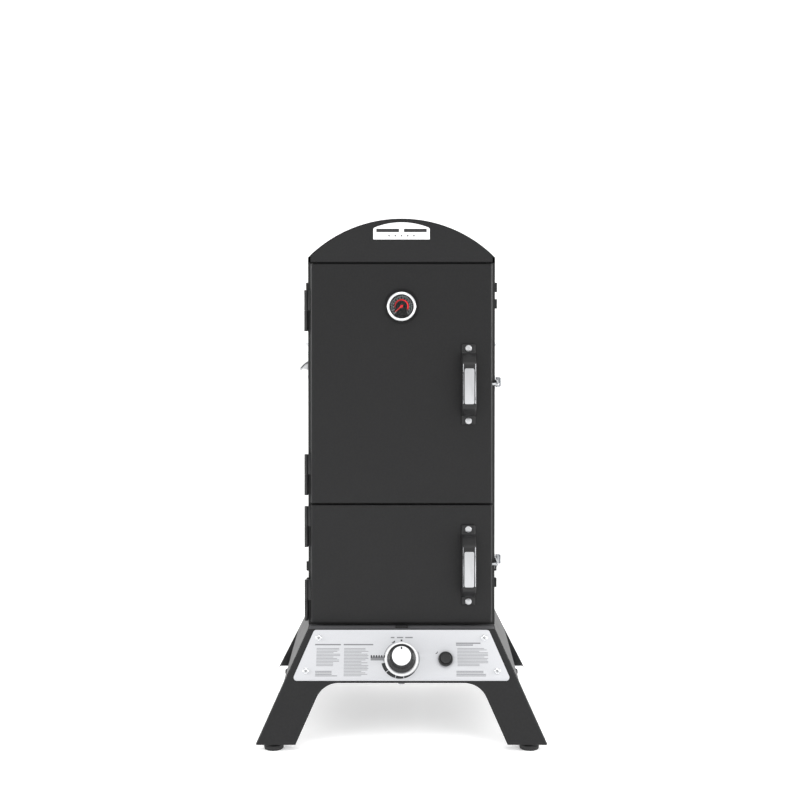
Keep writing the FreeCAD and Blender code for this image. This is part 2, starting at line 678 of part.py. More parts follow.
def badge_plate():
    """A blank badge with an arched top edge."""
    block = box("badge_block", ("-D.badge_w / 2", "-D.door_face - D.badge_t", "D.badge_z"),
                ("D.badge_w", "D.badge_t", "D.badge_crown - D.badge_z + 5"))
    arch = rod("badge_arch", "D.badge_r", "D.badge_t * 3",
               ("0", "-D.door_face - D.badge_t * 2", "D.badge_crown - D.badge_r"), "y")
    return common("badge_plate", block, arch)


# ---------------------------------------------------------------- doors


def side_on(obj, at):
    """Stand a flat outline up: its own x to the front, its own y upwards, its thickness to the left."""
    obj.Placement = FreeCAD.Placement(V(), FreeCAD.Rotation(V(0, -1, 0), V(0, 0, 1), V(-1, 0, 0), "XYZ"))
    return place(obj, at)


def door_skin(name, low, high, latch_z, with_gauge):
    """A door's outer pan, with the latch's keeper peg welded to its right edge."""
    outer, inner = pan(name, low, high)
    hollow = cut(f"{name}_pan", outer, [inner])
    peg = rod(f"{name}_peg", "D.keeper_r", "D.cab_w / 2 - D.door_w / 2 + D.sheet + D.keeper_out",
              ("D.door_w / 2 - D.sheet", "-D.latch_y - D.latch_reach", latch_z), "x")
    whole = joined(f"{name}_whole", [hollow, peg])
    if not with_gauge:
        return whole
    return cut(f"{name}_drilled", whole, [probe_hole(f"{name}_hole")])


def probe_hole(name):
    """The hole for the thermometer's probe."""
    return rod(name, "D.probe_r", "D.probe_l", ("0", "-D.door_face - 10", "D.gauge_z"), "y")


def door_liner(name, low, high, with_gauge):
    """The flat sheet that closes the back of a door pan."""
    half = "(D.door_w / 2 - D.sheet)"
    sheet = box(f"{name}_sheet", (f"-{half}", "-D.door_back - D.sheet", f"{low} + D.sheet"),
                (f"2 * {half}", "D.sheet", f"{high} - {low} - 2 * D.sheet"))
    return cut(f"{name}_drilled", sheet, [probe_hole(f"{name}_hole")]) if with_gauge else sheet


def handle(name, height):
    """A moulded bow handle on two screwed feet."""
    face = "(D.handle_out - D.insert_t)"
    inner = f"({face} - D.handle_bar)"
    toe = "(D.handle_half - 2 * (D.handle_half - D.handle_screw))"
    bow = "(D.handle_gap + D.handle_bar)"
    points = [
        ("0", "-D.handle_half"), ("D.handle_flange", "-D.handle_half"), ("D.handle_flange", f"-{toe}"),
        (face, f"-{bow}"), (face, bow), ("D.handle_flange", toe), ("D.handle_flange", "D.handle_half"),
        ("0", "D.handle_half"), ("0", "D.handle_gap + 10"), (inner, "D.handle_gap"),
        (inner, "-D.handle_gap"), ("0", "-D.handle_gap - 10"),
    ]
    body = plate(f"{name}_bow", points, "D.handle_w", [points[3], points[4]], "D.handle_round")
    side_on(body, ("D.handle_x + D.handle_w / 2", "-D.door_face", height))
    holes = []
    for i, sign in enumerate("+-"):
        at = ("D.handle_x", "-D.door_face - 20", f"{height} {sign} D.handle_screw")
        holes.append(rod(f"{name}_hole_{i}", "D.screw_r", "30", at, "y"))
    return cut(name, body, holes)


def handle_trim(name, height):
    """The bright insert on a handle's grip, and the two dome screws through its feet."""
    half_w, half_z = "D.insert_w / 2", "D.insert_tall / 2"
    points = rectangle(f"-{half_w}", f"-{half_z}", half_w, half_z)
    insert = plate(f"{name}_insert", points, "D.insert_t", points, "D.insert_r")
    facing_front(insert, ("D.handle_x", "-D.door_face - D.handle_out + D.insert_t", height))
    pieces = [insert]
    for i, sign in enumerate("+-"):
        screw = dome_screw(f"{name}_screw_{i}", "D.screw_r", "D.handle_flange")
        at = ("D.handle_x", "-D.door_face - D.handle_flange", f"{height} {sign} D.handle_screw")
        pieces.append(facing_front(screw, at))
    return group(name, pieces)


def frame_hinges():
    """The cabinet's hinge halves: a knuckle, the pin in it and the leaf on the left wall."""
    halves = []
    for i, height in enumerate(HINGES):
        low = f"{height} - D.barrel_l"
        at = ("-D.hinge_x", "-D.hinge_y", low)
        knuckle = rod(f"frame_knuckle_{i}", "D.barrel_r", "D.barrel_l", at)
        pin = rod(f"hinge_pin_{i}", "D.pin_r", "2 * D.barrel_l - 4", at)
        leaf = box(f"frame_leaf_{i}", ("-D.cab_w / 2 - D.leaf_t", "-D.hinge_y + 2", low),
                   ("D.leaf_t", "D.leaf_l", "D.barrel_l"))
        halves.append(joined(f"frame_hinge_{i}", [knuckle, pin, leaf]))
    return group("frame_hinges", halves)


def door_hinges(name, heights):
    """A door's hinge halves: a bored knuckle, and the strap that folds on to the door's edge."""
    halves = []
    for i, height in enumerate(heights):
        low = f"{height} + D.hinge_gap"
        tall = "D.barrel_l - D.hinge_gap"
        at = ("-D.hinge_x", "-D.hinge_y", low)
        knuckle = rod(f"{name}_knuckle_{i}", "D.barrel_r", tall, at)
        strap = box(f"{name}_strap_{i}", ("-D.hinge_x", "-D.hinge_y - 1", low),
                    ("D.hinge_x - D.door_w / 2", "D.leaf_t", tall))
        fold = box(f"{name}_fold_{i}", ("-D.door_w / 2 - D.leaf_t", "-D.hinge_y - 3", low),
                   ("D.leaf_t", "9", tall))
        bore = rod(f"{name}_bore_{i}", "D.pin_bore", "D.barrel_l * 1.2", at)
        halves.append(cut(f"{name}_half_{i}", joined(f"{name}_whole_{i}", [knuckle, strap, fold]), [bore]))
    return group(name, halves)


GAUGE = ("0", "-D.door_face", "D.gauge_z")


def gauge_case():
    """The thermometer's dark case on the door, its probe through it and the pointer's post."""
    profile = [
        ("0", "-D.probe_l"), ("D.probe_r", "-D.probe_l"), ("D.probe_r", "0"), ("D.case_r", "0"),
        ("D.case_r", "D.case_t - 1"), ("D.case_r - 1", "D.case_t"), ("D.post_r", "D.case_t"),
        ("D.post_r", "D.case_t + 5"), ("0", "D.case_t + 5"),
    ]
    return facing_front(turned("gauge_case", profile), GAUGE)


def gauge_bezel():
    """The bright ring round the dial, sloped at its outer edge."""
    profile = [
        ("D.dial_r", "D.case_t"), ("D.bezel_r", "D.case_t"), ("D.bezel_r", "D.case_t + D.bezel_t - 4"),
        ("D.bezel_r - 2", "D.case_t + D.bezel_t"), ("D.dial_r + 1", "D.case_t + D.bezel_t"),
        ("D.dial_r", "D.case_t + D.bezel_t - 3"),
    ]
    return facing_front(turned("gauge_bezel", profile), GAUGE)


def gauge_dial():
    """The dial plate, let on to the pointer's post."""
    profile = rectangle("D.post_r", "D.case_t", "D.dial_r", "D.case_t + 1")
    return facing_front(turned("gauge_dial", profile), GAUGE)


def gauge_pointer():
    """The pointer on its hub, resting at the cold end of the scale."""
    low = "D.case_t + 2"
    hub = turned("pointer_hub", rectangle("D.post_r + 0.05", low, "D.hub_r", f"{low} + D.pointer_t * 1.5"))
    start = "(D.post_r + 0.5)"
    points = [(start, "-1.2"), ("D.pointer_l", "-0.3"), ("D.pointer_l", "0.3"), (start, "1.2")]
    blade = place(plate("pointer_blade", points, "D.pointer_t"), ("0", "0", low))
    return facing_front(joined("gauge_pointer", [hub, blade]), GAUGE, "-D.pointer_rest")


# ---------------------------------------------------------------- side fittings


def vents(name, height, turn, low, high):
    """Three round vents on a ring, turned from the top by some degrees."""
    spots = []
    for i in range(3):
        angle = f"({120 * i} deg + {turn} deg)"
        spots.append((f"D.vent_ring * sin({angle})", f"{height} + D.vent_ring * cos({angle})"))
    return side_rods(name, "D.vent_r", spots, low, high)


def damper_seat(name, height):
    """The fixed plate of a damper, left hand, with its vents, screw holes and rivet hole."""
    sheet = side_rods(name, "D.seat_r", [("0", height)], "0", "D.seat_t")[0]
    holes = vents(f"{name}_vent", height, 0, "-1", "D.seat_t + 1")
    screws = [("0", f"{height} {sign} D.damper_screw") for sign in "+-"]
    holes += side_rods(f"{name}_screw", "D.screw_r", screws, "-1", "D.seat_t + 1")
    holes += side_rods(f"{name}_rivet", "D.rivet_r", [("0", height)], "-1", "D.seat_t + 1")
    return cut(f"{name}_seat", sheet, holes)


def damper_disc(name, height):
    """The turning plate of a damper, left hand, closed at rest, with its two finger grips."""
    low = "(D.seat_t + D.disc_gap)"
    high = f"({low} + D.disc_t)"
    sheet = side_rods(name, "D.disc_r", [("0", height)], low, high)[0]
    grips = []
    for i, z in enumerate((f"{height} + D.grip_in", f"{height} - D.grip_out")):
        corner = (f"-D.cab_w / 2 - {high} - D.grip_rise", "-D.grip_w / 2", z)
        grips.append(box(f"{name}_grip_{i}", corner, ("D.grip_rise", "D.grip_w", "D.grip_out - D.grip_in")))
    holes = vents(f"{name}_vent", height, 60, "0", f"{high} + 1")
    holes += side_rods(f"{name}_bore", "D.rivet_bore", [("0", height)], "0", f"{high} + 1")
    return cut(f"{name}_disc", joined(f"{name}_whole", [sheet] + grips), holes)


def damper_fasteners():
    """The screws that hold the damper seats and the rivets that the discs turn on."""
    top = "(D.seat_t + D.disc_t + 2 * D.disc_gap)"
    pieces = []
    for level, height in DAMPERS.items():
        spots = [("0", f"{height} {sign} D.damper_screw") for sign in "+-"]
        for part, radius, where, low, high in (
            ("shank", "D.screw_r", spots, "-6", "D.seat_t"),
            ("head", "D.screw_r * 1.6", spots, "D.seat_t", "D.seat_t + 2.4"),
            ("rivet", "D.rivet_r", [("0", height)], "0", top),
            ("rivet_head", "D.rivet_r * 2", [("0", height)], top, f"{top} + 1.5"),
        ):
            pieces += side_rods(f"damper_{level}_{part}", radius, where, low, high)
    return both_sides("damper_fasteners", joined("damper_fasteners_left", pieces))


def side_fasteners():
    """The bottle opener's two screws and the cap nut on each side."""
    opener = "(D.opener_t)"
    screws = side_rods("opener_shank", "D.screw_r", OPENER_SCREWS, "-6", opener)
    screws += side_rods("opener_head", "D.screw_r * 1.8", OPENER_SCREWS, opener, f"{opener} + 2.6")
    nut_at = [("-D.opener_y", "D.nut_z")]
    nut = joined("nut_left", side_rods("nut_body", "D.screw_r * 2", nut_at, "0", "D.nut_rise")
                 + side_rods("nut_stud", "D.screw_r", nut_at, "-6", "D.nut_rise / 2"))
    return group("side_fasteners", [joined("opener_screws", screws), both_sides("nuts", nut)])


def bottle_opener():
    """A cast opener on the left wall: a plate with a hooded lip that is open underneath."""
    tall, half = "(D.opener_screw + 8)", "(D.opener_w / 2)"
    wall = "-D.cab_w / 2"
    back = box("opener_back", (f"{wall} - D.opener_t", f"-D.opener_y - {half}", f"D.opener_z - {tall}"),
               ("D.opener_t", f"2 * {half}", f"2 * {tall}"))
    hood = box("opener_hood", (f"{wall} - D.opener_out", f"-D.opener_y - {half}", "D.opener_z - 12"),
               ("D.opener_out", f"2 * {half}", "D.opener_hood"))
    corner = (f"{wall} - D.opener_out + 3", f"-D.opener_y - {half} + 3", "D.opener_z - 20")
    hollow = box("opener_hollow", corner,
                 ("D.opener_out - D.opener_t - 3", f"2 * {half} - 6", "D.opener_hood + 4"))
    holes = side_rods("opener_hole", "D.screw_r", OPENER_SCREWS, "-1", "D.opener_out")
    return cut("bottle_opener", joined("opener_whole", [back, hood]), [hollow] + holes)


def latch_base(name, height):
    """A latch's plate on the right wall, with the headed pin that its lever turns on."""
    wall = "D.cab_w / 2"
    half = "D.latch_plate / 2"
    sheet = box(f"{name}_sheet", (wall, f"-D.latch_y - {half}", f"{height} - {half}"),
                ("D.leaf_t", "D.latch_plate", "D.latch_plate"))
    top = f"({wall} + D.leaf_t + D.latch_t + 2)"
    pin = rod(f"{name}_pin", "D.stem_r", f"{top} - {wall}", (wall, "-D.latch_y", height), "x")
    head = rod(f"{name}_head", "D.stem_r + 3", "2", (top, "-D.latch_y", height), "x")
    return joined(name, [sheet, pin, head])


def latch_lever(name, height):
    """A latch's lever: an arm that rests over the keeper peg, and a finger tab that stands out."""
    arm, reach = "(D.stem_r + 4)", "D.latch_reach"
    clear = "(D.keeper_r + 0.6)"
    points = [
        ("-14", f"-{arm}"), (f"{reach} - {clear} - 1.4", f"-{arm}"), (f"{reach} - {clear} - 1.4", clear),
        (f"{reach} + 9", clear), (f"{reach} + 9", arm), ("-14", arm),
    ]
    start = "(D.cab_w / 2 + D.leaf_t + 1)"
    body = plate(f"{name}_arm", points, "D.latch_t")
    side_on(body, (f"{start} + D.latch_t", "-D.latch_y", height))
    tab = box(f"{name}_tab", (start, "-D.latch_y + 9.5", f"{height} - 18"), ("D.latch_tab", "3", "36"))
    bore = rod(f"{name}_bore", "D.stem_bore", "30", ("D.cab_w / 2", "-D.latch_y", height), "x")
    return cut(name, joined(f"{name}_whole", [body, tab]), [bore])


# ---------------------------------------------------------------- cooking gear

GRID_HEIGHTS = [f"(D.grid_z_1 + {i} * D.grid_pitch)" for i in range(4)]


def rack_rails():
    """The eight angle rails on the side walls that the four grids rest on."""
    rails = []
    for i, height in enumerate(GRID_HEIGHTS):
        start = "D.grid_y - D.grid_depth / 2"
        ledge = box(f"ledge_{i}", (f"-{WALL}", start, f"{height} - D.sheet"),
                    ("D.ledge_w", "D.grid_depth", "D.sheet"))
        flange = box(f"flange_{i}", (f"-{WALL}", start, f"{height} - D.ledge_w / 2"),
                     ("D.sheet", "D.grid_depth", "D.ledge_w / 2"))
        rails.append(both_sides(f"rail_{i}", joined(f"rail_left_{i}", [ledge, flange])))
    return group("rack_rails", rails)


def cooking_grid():
    """A welded wire grid: a square frame of thick rod with thin wires from front to back."""
    half_x, half_y, bar = "(D.grid_w / 2)", "(D.grid_depth / 2)", "D.frame_rod"
    outer = box("grid_outer", (f"-{half_x}", f"-{half_y}", "0"), ("D.grid_w", "D.grid_depth", bar))
    inner = box("grid_inner", (f"{bar} - {half_x}", f"{bar} - {half_y}", "-1"),
                (f"D.grid_w - 2 * {bar}", f"D.grid_depth - 2 * {bar}", f"{bar} + 2"))
    pieces = [cut("grid_frame", outer, [inner])]
    for i, y in enumerate((f"-{half_y} / 2.6", f"{half_y} / 2.6")):
        pieces.append(box(f"grid_cross_{i}", (f"1 - {half_x}", y, "0"), ("D.grid_w - 2", "4", "3.4")))
    for i in range(round(val("D.wire_count"))):
        x = f"({i + 1}) * D.grid_w / (D.wire_count + 1) - {half_x}"
        at = (x, f"1 - {half_y}", f"{bar} - D.wire_r")
        pieces.append(rod(f"wire_{i}", "D.wire_r", "D.grid_depth - 2", at, "y"))
    return joined("cooking_grid", pieces)


def water_bowl():
    """A round enamelled bowl with sloping sides and a flat rim."""
    side, tall, wall = "D.bowl_r", "D.bowl_tall", "D.bowl_t"
    profile = [
        ("0", "0"), ("D.bowl_base_r", "0"), (side, tall), (f"{side} + D.rim_w", tall),
        (f"{side} + D.rim_w", f"{tall} + {wall}"), (f"{side} - {wall}", f"{tall} + {wall}"),
        (f"D.bowl_base_r - {wall}", wall), ("0", wall),
    ]
    return place(turned("water_bowl", profile), ("0", "D.grid_y", "D.bowl_z"))


def support_bars():
    """Two flat bars under the bowl and two under the chip box, from wall to wall."""
    bars = []
    held = (("bowl", "D.bowl_z", "D.bowl_base_r / 2"), ("chip", "D.chip_z", "D.chip_d / 4"))
    for name, top, spread in held:
        for sign in "+-":
            corner = (f"-{WALL}", f"D.grid_y {sign} {spread} - D.bar_w / 2", f"{top} - D.bar_t")
            label = f"{name}_bar_{'back' if sign == '+' else 'front'}"
            bars.append(box(label, corner, (f"2 * {WALL}", "D.bar_w", "D.bar_t")))
    return group("support_bars", bars)


CHIP_HINGE_Y = "(D.grid_y + D.chip_d / 2 + 5)"
CHIP_HINGE_Z = "(D.chip_z + D.chip_tall)"


def chip_box():
    """The open box for wood chips, with two ears and the hinge pin at its back."""
    corner = ("-D.chip_w / 2", "D.grid_y - D.chip_d / 2", "D.chip_z")
    outer = box("chip_outer", corner, ("D.chip_w", "D.chip_d", "D.chip_tall"))
    inner_corner = tuple(f"{c} + D.chip_t" for c in corner)
    inner = box("chip_inner", inner_corner,
                ("D.chip_w - 2 * D.chip_t", "D.chip_d - 2 * D.chip_t", "D.chip_tall"))
    ear_y = "D.grid_y + D.chip_d / 2 - D.chip_t"
    ears = [
        box(f"chip_ear_{i}", (x, ear_y, f"{CHIP_HINGE_Z} - 16"), ("8", "12", "20"))
        for i, x in enumerate(("-D.chip_w / 3 - 8.5", "D.chip_w / 3 + 0.5"))
    ]
    pin_at = ("-D.chip_w / 3 - 5", CHIP_HINGE_Y, CHIP_HINGE_Z)
    pin = rod("chip_pin", "D.pin_r", "2 * D.chip_w / 3 + 10", pin_at, "x")
    return joined("chip_box", [cut("chip_tray", outer, [inner]), pin] + ears)


def chip_lid():
    """The chip box's lid, with the barrel that turns on the pin."""
    corner = ("-D.chip_w / 2", "D.grid_y - D.chip_d / 2", f"{CHIP_HINGE_Z} + D.lid_gap")
    # the lid stops short of the ears and its barrel reaches back to the pin
    sheet = box("lid_sheet", corner, ("D.chip_w", "D.chip_d - 4", "D.lid_t"))
    width = "(2 * D.chip_w / 3)"
    tongue_corner = (f"-{width} / 2", "D.grid_y + D.chip_d / 2 - 6", f"{CHIP_HINGE_Z} + D.lid_gap")
    tongue = box("lid_tongue", tongue_corner, (width, "10", "D.lid_t"))
    barrel = rod("lid_barrel", "D.pin_r + 1.8", width, (f"-{width} / 2", CHIP_HINGE_Y, CHIP_HINGE_Z), "x")
    bore_at = (f"-{width} / 2 - 2", CHIP_HINGE_Y, CHIP_HINGE_Z)
    bore = rod("lid_bore", "D.pin_bore", f"{width} + 4", bore_at, "x")
    return cut("chip_lid", joined("lid_whole", [sheet, tongue, barrel]), [bore])


# ---------------------------------------------------------------- the assembly


def build_base():
    """The base, its feet and the bumper on the ledge."""
    front = cut("front_drilled", end_panel("front", False), control_holes("panel"))
    node(front, "base_front_panel")
    node(end_panel("rear", True), "base_rear_panel")
    node(both_sides("skirts", side_skirt("skirt")), "base_side_skirts")
    node(deck(), "base_deck")
    node(four_feet(), "levelling_feet")
    bumper = box("bumper", ("-D.bumper_w / 2", "D.bumper_in - D.deck_hy", "D.deck_z"),
                 ("D.bumper_w", "D.bumper_d", "D.bumper_t"))
    node(bumper, "ledge_bumper")


def build_controls():
    """The control plate, the knob, the igniter and the gas parts."""
    for make, label in (
        (control_plate, "control_plate"), (plate_screws, "control_plate_screws"), (gas_valve, "gas_valve"),
        (valve_stem, "valve_stem"), (knob_skirt, "knob_skirt"), (knob_cap, "knob_cap"),
        (igniter_housing, "igniter_housing"), (igniter_button, "igniter_button"),
        (burner_tube, "burner_tube"), (burner_head, "burner_head"),
    ):
        node(make(), label)


def build_cabinet():
    """The cabinet's sheets, the hood and the badge."""
    node(side_wall("left_sheet", True), "left_wall")
    node(mirrored("right_sheet", side_wall("right_blank", False), V(1, 0, 0)), "right_wall")
    rear = ("D.cab_back - D.sheet", "D.cab_back", FLOOR, "D.cab_top")
    node(cross_sheet("back_sheet", *rear), "back_wall")
    roof = ("D.frame_t - D.cab_front", "D.cab_back - D.sheet", "D.cab_top - D.sheet", "D.cab_top")
    node(cross_sheet("roof_sheet", *roof), "roof_panel")
    for make, label in (
        (floor_pan, "floor_pan"), (front_frame, "front_frame"), (door_seals, "door_seals"),
        (hood_top, "hood_top"), (hood_fascia, "hood_fascia"), (badge_plate, "badge_plate"),
    ):
        node(make(), label)


def build_doors():
    """Both doors with their hinges, handles and latches, and the thermometer."""
    doors = (
        ("upper", "D.up_door_z", "D.up_door_top", "D.up_handle_z", HINGES[2:], True),
        ("lower", "D.low_door_z", "D.low_door_top", "D.low_handle_z", HINGES[:2], False),
    )
    bases = []
    for level, low, high, height, hinges, gauge in doors:
        node(door_skin(f"{level}_skin", low, high, height, gauge), f"{level}_door_skin")
        node(door_liner(f"{level}_liner", low, high, gauge), f"{level}_door_liner")
        node(door_hinges(f"{level}_hinge", hinges), f"{level}_door_hinges")
        node(handle(f"{level}_bow", height), f"{level}_door_handle")
        node(handle_trim(f"{level}_trim", height), f"{level}_handle_trim")
        node(latch_lever(f"{level}_lever", height), f"{level}_latch_lever")
        bases.append(latch_base(f"{level}_base", height))
    node(group("bases", bases), "latch_bases")
    node(frame_hinges(), "frame_hinges")
    for make, label in (
        (gauge_case, "gauge_case"), (gauge_bezel, "gauge_bezel"),
        (gauge_dial, "gauge_dial"), (gauge_pointer, "gauge_pointer"),
    ):
        node(make(), label)


def build_sides():
    """The dampers, the bottle opener and their fasteners."""
    seats = []
    for level, height in DAMPERS.items():
        seats.append(damper_seat(f"{level}_damper", height))
        disc = damper_disc(f"{level}_disc", height)
        node(group(f"{level}_left_disc", [disc]), f"{level}_left_damper")
        node(mirrored(f"{level}_right_disc", disc, V(1, 0, 0)), f"{level}_right_damper")
    node(both_sides("seats", group("left_seats", seats)), "damper_seats")
    node(damper_fasteners(), "damper_fasteners")
    node(bottle_opener(), "bottle_opener")
    node(side_fasteners(), "side_fasteners")


def build_cooking_gear():
    """The supports, grids, bowl and chip box inside the cabinet."""
    node(group("supports", [rack_rails(), support_bars()]), "shelf_supports")
    grid = cooking_grid()
    for i, height in enumerate(GRID_HEIGHTS, start=1):
        node(moved(f"grid_{i}", grid, ("0", "D.grid_y", height)), f"cooking_grid_{i}")
    for make, label in (
        (water_bowl, "water_bowl"), (chip_box, "chip_box"), (chip_lid, "chip_box_lid"),
    ):
        node(make(), label)


def check():
    """Stop if any object failed to build or any sub-part has a null or invalid shape."""
    for obj in doc.Objects:
        if "Invalid" in obj.State or "Error" in obj.State:
            raise RuntimeError(f"{obj.Name} failed: {obj.getStatusString()}")
    for obj in nodes:
        if obj.Shape.isNull() or not obj.Shape.isValid() or not obj.Shape.Solids:
            raise RuntimeError(f"{obj.Label} has no valid solid")


def write_parts():
    """Write each sub-part to its own STEP file, named by its label."""
    os.makedirs("parts", exist_ok=True)
    for obj in nodes:
        obj.Shape.exportStep(f"parts/{obj.Label}.step")
    print(f"{len(nodes)} sub-parts written")


build_base()
build_controls()
build_cabinet()
build_doors()
build_sides()
build_cooking_gear()
doc.recompute()
check()
write_parts()
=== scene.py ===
import json
import math
import random

import bmesh
import bpy
from mathutils import Matrix, Vector


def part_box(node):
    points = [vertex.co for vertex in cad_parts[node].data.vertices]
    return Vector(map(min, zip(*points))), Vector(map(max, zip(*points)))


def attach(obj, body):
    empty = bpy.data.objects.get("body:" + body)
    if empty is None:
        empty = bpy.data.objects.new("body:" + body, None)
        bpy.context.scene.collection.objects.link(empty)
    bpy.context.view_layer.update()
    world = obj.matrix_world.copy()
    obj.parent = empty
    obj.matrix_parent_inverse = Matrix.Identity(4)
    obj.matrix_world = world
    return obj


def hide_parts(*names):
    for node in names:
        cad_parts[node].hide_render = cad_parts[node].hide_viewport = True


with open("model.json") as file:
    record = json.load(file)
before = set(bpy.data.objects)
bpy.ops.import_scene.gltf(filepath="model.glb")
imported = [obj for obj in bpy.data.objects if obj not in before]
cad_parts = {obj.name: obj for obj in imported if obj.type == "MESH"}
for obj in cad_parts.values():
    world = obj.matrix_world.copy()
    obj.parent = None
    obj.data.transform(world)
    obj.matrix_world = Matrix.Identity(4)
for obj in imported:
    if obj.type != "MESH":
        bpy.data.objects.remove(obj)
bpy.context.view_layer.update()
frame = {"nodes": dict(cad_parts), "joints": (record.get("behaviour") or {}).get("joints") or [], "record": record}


# Studio.
# A photographer's set: a pale seamless floor and backdrop under large soft lamps, with the camera
# low in front of the smoker, level with the top of its upper door.
def sculpt(name, build):
    """A mesh object from a function that fills a bmesh."""
    bm = bmesh.new()
    build(bm)
    bmesh.ops.recalc_face_normals(bm, faces=bm.faces)
    mesh = bpy.data.meshes.new(name)
    bm.to_mesh(mesh)
    bm.free()
    piece = bpy.data.objects.new(name, mesh)
    bpy.context.scene.collection.objects.link(piece)
    return piece


def colour(code):
    """An sRGB hex code as the linear colour that a shader takes."""
    channels = [int(code[i:i + 2], 16) / 255 for i in (1, 3, 5)]
    return [c / 12.92 if c <= 0.04045 else ((c + 0.055) / 1.055) ** 2.4 for c in channels] + [1.0]


def add_node(material, kind, values=None, links=None):
    """Add a shader node, set its properties and sockets, and link its inputs."""
    made = material.node_tree.nodes.new(kind)
    for name, value in (values or {}).items():
        if name in made.inputs:
            made.inputs[name].default_value = value
        else:
            setattr(made, name, value)
    for name, source in (links or {}).items():
        material.node_tree.links.new(source, made.inputs[name])
    return made


def finish_material(name, tones, grain_mm, bump_mm, stretch=(1, 1, 1), contrast=(0.35, 0.65), rough=None,
                    **shader):
    """A material whose colour drifts between tones in a noise of a real grain size, with fine relief."""
    material = bpy.data.materials.new(name)
    material.use_nodes = True
    material.node_tree.nodes.clear()
    place = add_node(material, "ShaderNodeTexCoord")
    squeeze = add_node(material, "ShaderNodeMapping", {"Scale": stretch},
                       {"Vector": place.outputs["Object"]})
    noise = add_node(material, "ShaderNodeTexNoise", {"Scale": 1000 / grain_mm, "Detail": 4.0},
                     {"Vector": squeeze.outputs["Vector"]})
    ramp = add_node(material, "ShaderNodeValToRGB", None, {"Fac": noise.outputs["Fac"]})
    stops = ramp.color_ramp.elements
    stops[0].position, stops[1].position = contrast
    stops[0].color, stops[1].color = colour(tones[0]), colour(tones[1])
    relief = add_node(material, "ShaderNodeBump", {"Strength": 0.35, "Distance": bump_mm / 1000},
                      {"Height": noise.outputs["Fac"]})
    links = {"Base Color": ramp.outputs["Color"], "Normal": relief.outputs["Normal"]}
    if rough:
        wear = add_node(material, "ShaderNodeTexNoise", {"Scale": 9.0, "Detail": 3.0},
                        {"Vector": place.outputs["Object"]})
        span = add_node(material, "ShaderNodeMapRange", {"To Min": rough[0], "To Max": rough[1]},
                        {"Value": wear.outputs["Fac"]})
        links["Roughness"] = span.outputs["Result"]
    surface = add_node(material, "ShaderNodeBsdfPrincipled", shader, links)
    add_node(material, "ShaderNodeOutputMaterial", None, {"Surface": surface.outputs["BSDF"]})
    return material


backdrop_paint = finish_material("seamless_backdrop_paper", ("#F7F7F7", "#FAFAFA"), 40, 0.05, Roughness=0.9,
                                 **{"Emission Color": colour("#FFFFFF"), "Emission Strength": 0.22})


def backdrop(bm):
    """A floor that sweeps up behind the object in one smooth curve."""
    half, front, bend, rise = 14.0, -9.0, 3.2, 9.0
    profile = [(front, 0.0), (bend, 0.0)]
    profile += [(bend + 2 * math.sin(t), 2 - 2 * math.cos(t))
                for t in [math.radians(7.5 * i) for i in range(1, 13)]]
    profile.append((bend + 2, rise))
    rows = [[bm.verts.new((x, y, z)) for x in (-half, half)] for y, z in profile]
    for low, high in zip(rows, rows[1:]):
        bm.faces.new((low[0], low[1], high[1], high[0]))


floor = sculpt("studio_backdrop", backdrop)
floor.data.materials.append(backdrop_paint)
floor.data.polygons.foreach_set("use_smooth", [True] * len(floor.data.polygons))

camera = bpy.data.objects.new("camera", bpy.data.cameras.new("camera"))
camera.data.lens = 63.17
camera.data.sensor_width = 36
camera.data.shift_x = -0.0019
camera.data.shift_y = -0.13
camera.location = (0, -3.5784, 1.1336)
camera.rotation_euler = (math.radians(90 - 1.241), 0, 0)
bpy.context.scene.collection.objects.link(camera)
bpy.context.scene.camera = camera

LAMPS = [
    ("key_softbox", (3.2, -3.4, 3.6), 2.6, 42, 0.6),
    ("fill_softbox", (-3.4, -3.0, 2.8), 3.2, 33, 0.6),
    ("top_softbox", (0.0, -1.2, 4.6), 3.0, 62, 0.3),
    ("left_strip", (-2.4, -0.15, 1.0), 0.7, 26, 0.8),
    ("right_strip", (2.4, -0.15, 1.0), 0.7, 34, 0.8),
    ("floor_card", (0.0, -2.7, 0.3), 1.6, 3, 0.0),
]
for name, at, size, power, aim in LAMPS:
    lamp = bpy.data.objects.new(name, bpy.data.lights.new(name, "AREA"))
    lamp.data.size = size
    lamp.data.energy = power
    lamp.location = at
    lamp.rotation_euler = (Vector((0, 0, aim)) - Vector(at)).to_track_quat("-Z", "Y").to_euler()
    bpy.context.scene.collection.objects.link(lamp)

world = bpy.data.worlds.new("white_room")
world.use_nodes = True
world.node_tree.nodes["Background"].inputs["Color"].default_value = (1, 1, 1, 1)
world.node_tree.nodes["Background"].inputs["Strength"].default_value = 0.9
bpy.context.scene.world = world
bpy.context.scene.view_settings.view_transform = "Standard"


# Cabinet sheets.
# Folded and spot-welded mild steel, 1.5 mm thick, powder coated in satin black and baked. The coat
# gives a soft, even sheen with a faint orange peel and no sparkle.
powder_coat = finish_material("powder_coated_steel_satin_black", ("#171718", "#1B1B1C"), 5.0, 0.06,
                              rough=(0.42, 0.52), **{"Specular IOR Level": 0.3})
powder_coat_inside = finish_material("powder_coated_steel_inside", ("#161616", "#1C1C1C"), 6.0, 0.08,
                                     rough=(0.5, 0.62))
for node in ("left_wall", "right_wall", "back_wall", "hood_top", "base_deck", "base_side_skirts"):
    frame["nodes"][node].data.materials.clear()
    frame["nodes"][node].data.materials.append(powder_coat)
for node in ("roof_panel", "floor_pan", "front_frame", "upper_door_liner", "lower_door_liner"):
    frame["nodes"][node].data.materials.clear()
    frame["nodes"][node].data.materials.append(powder_coat_inside)


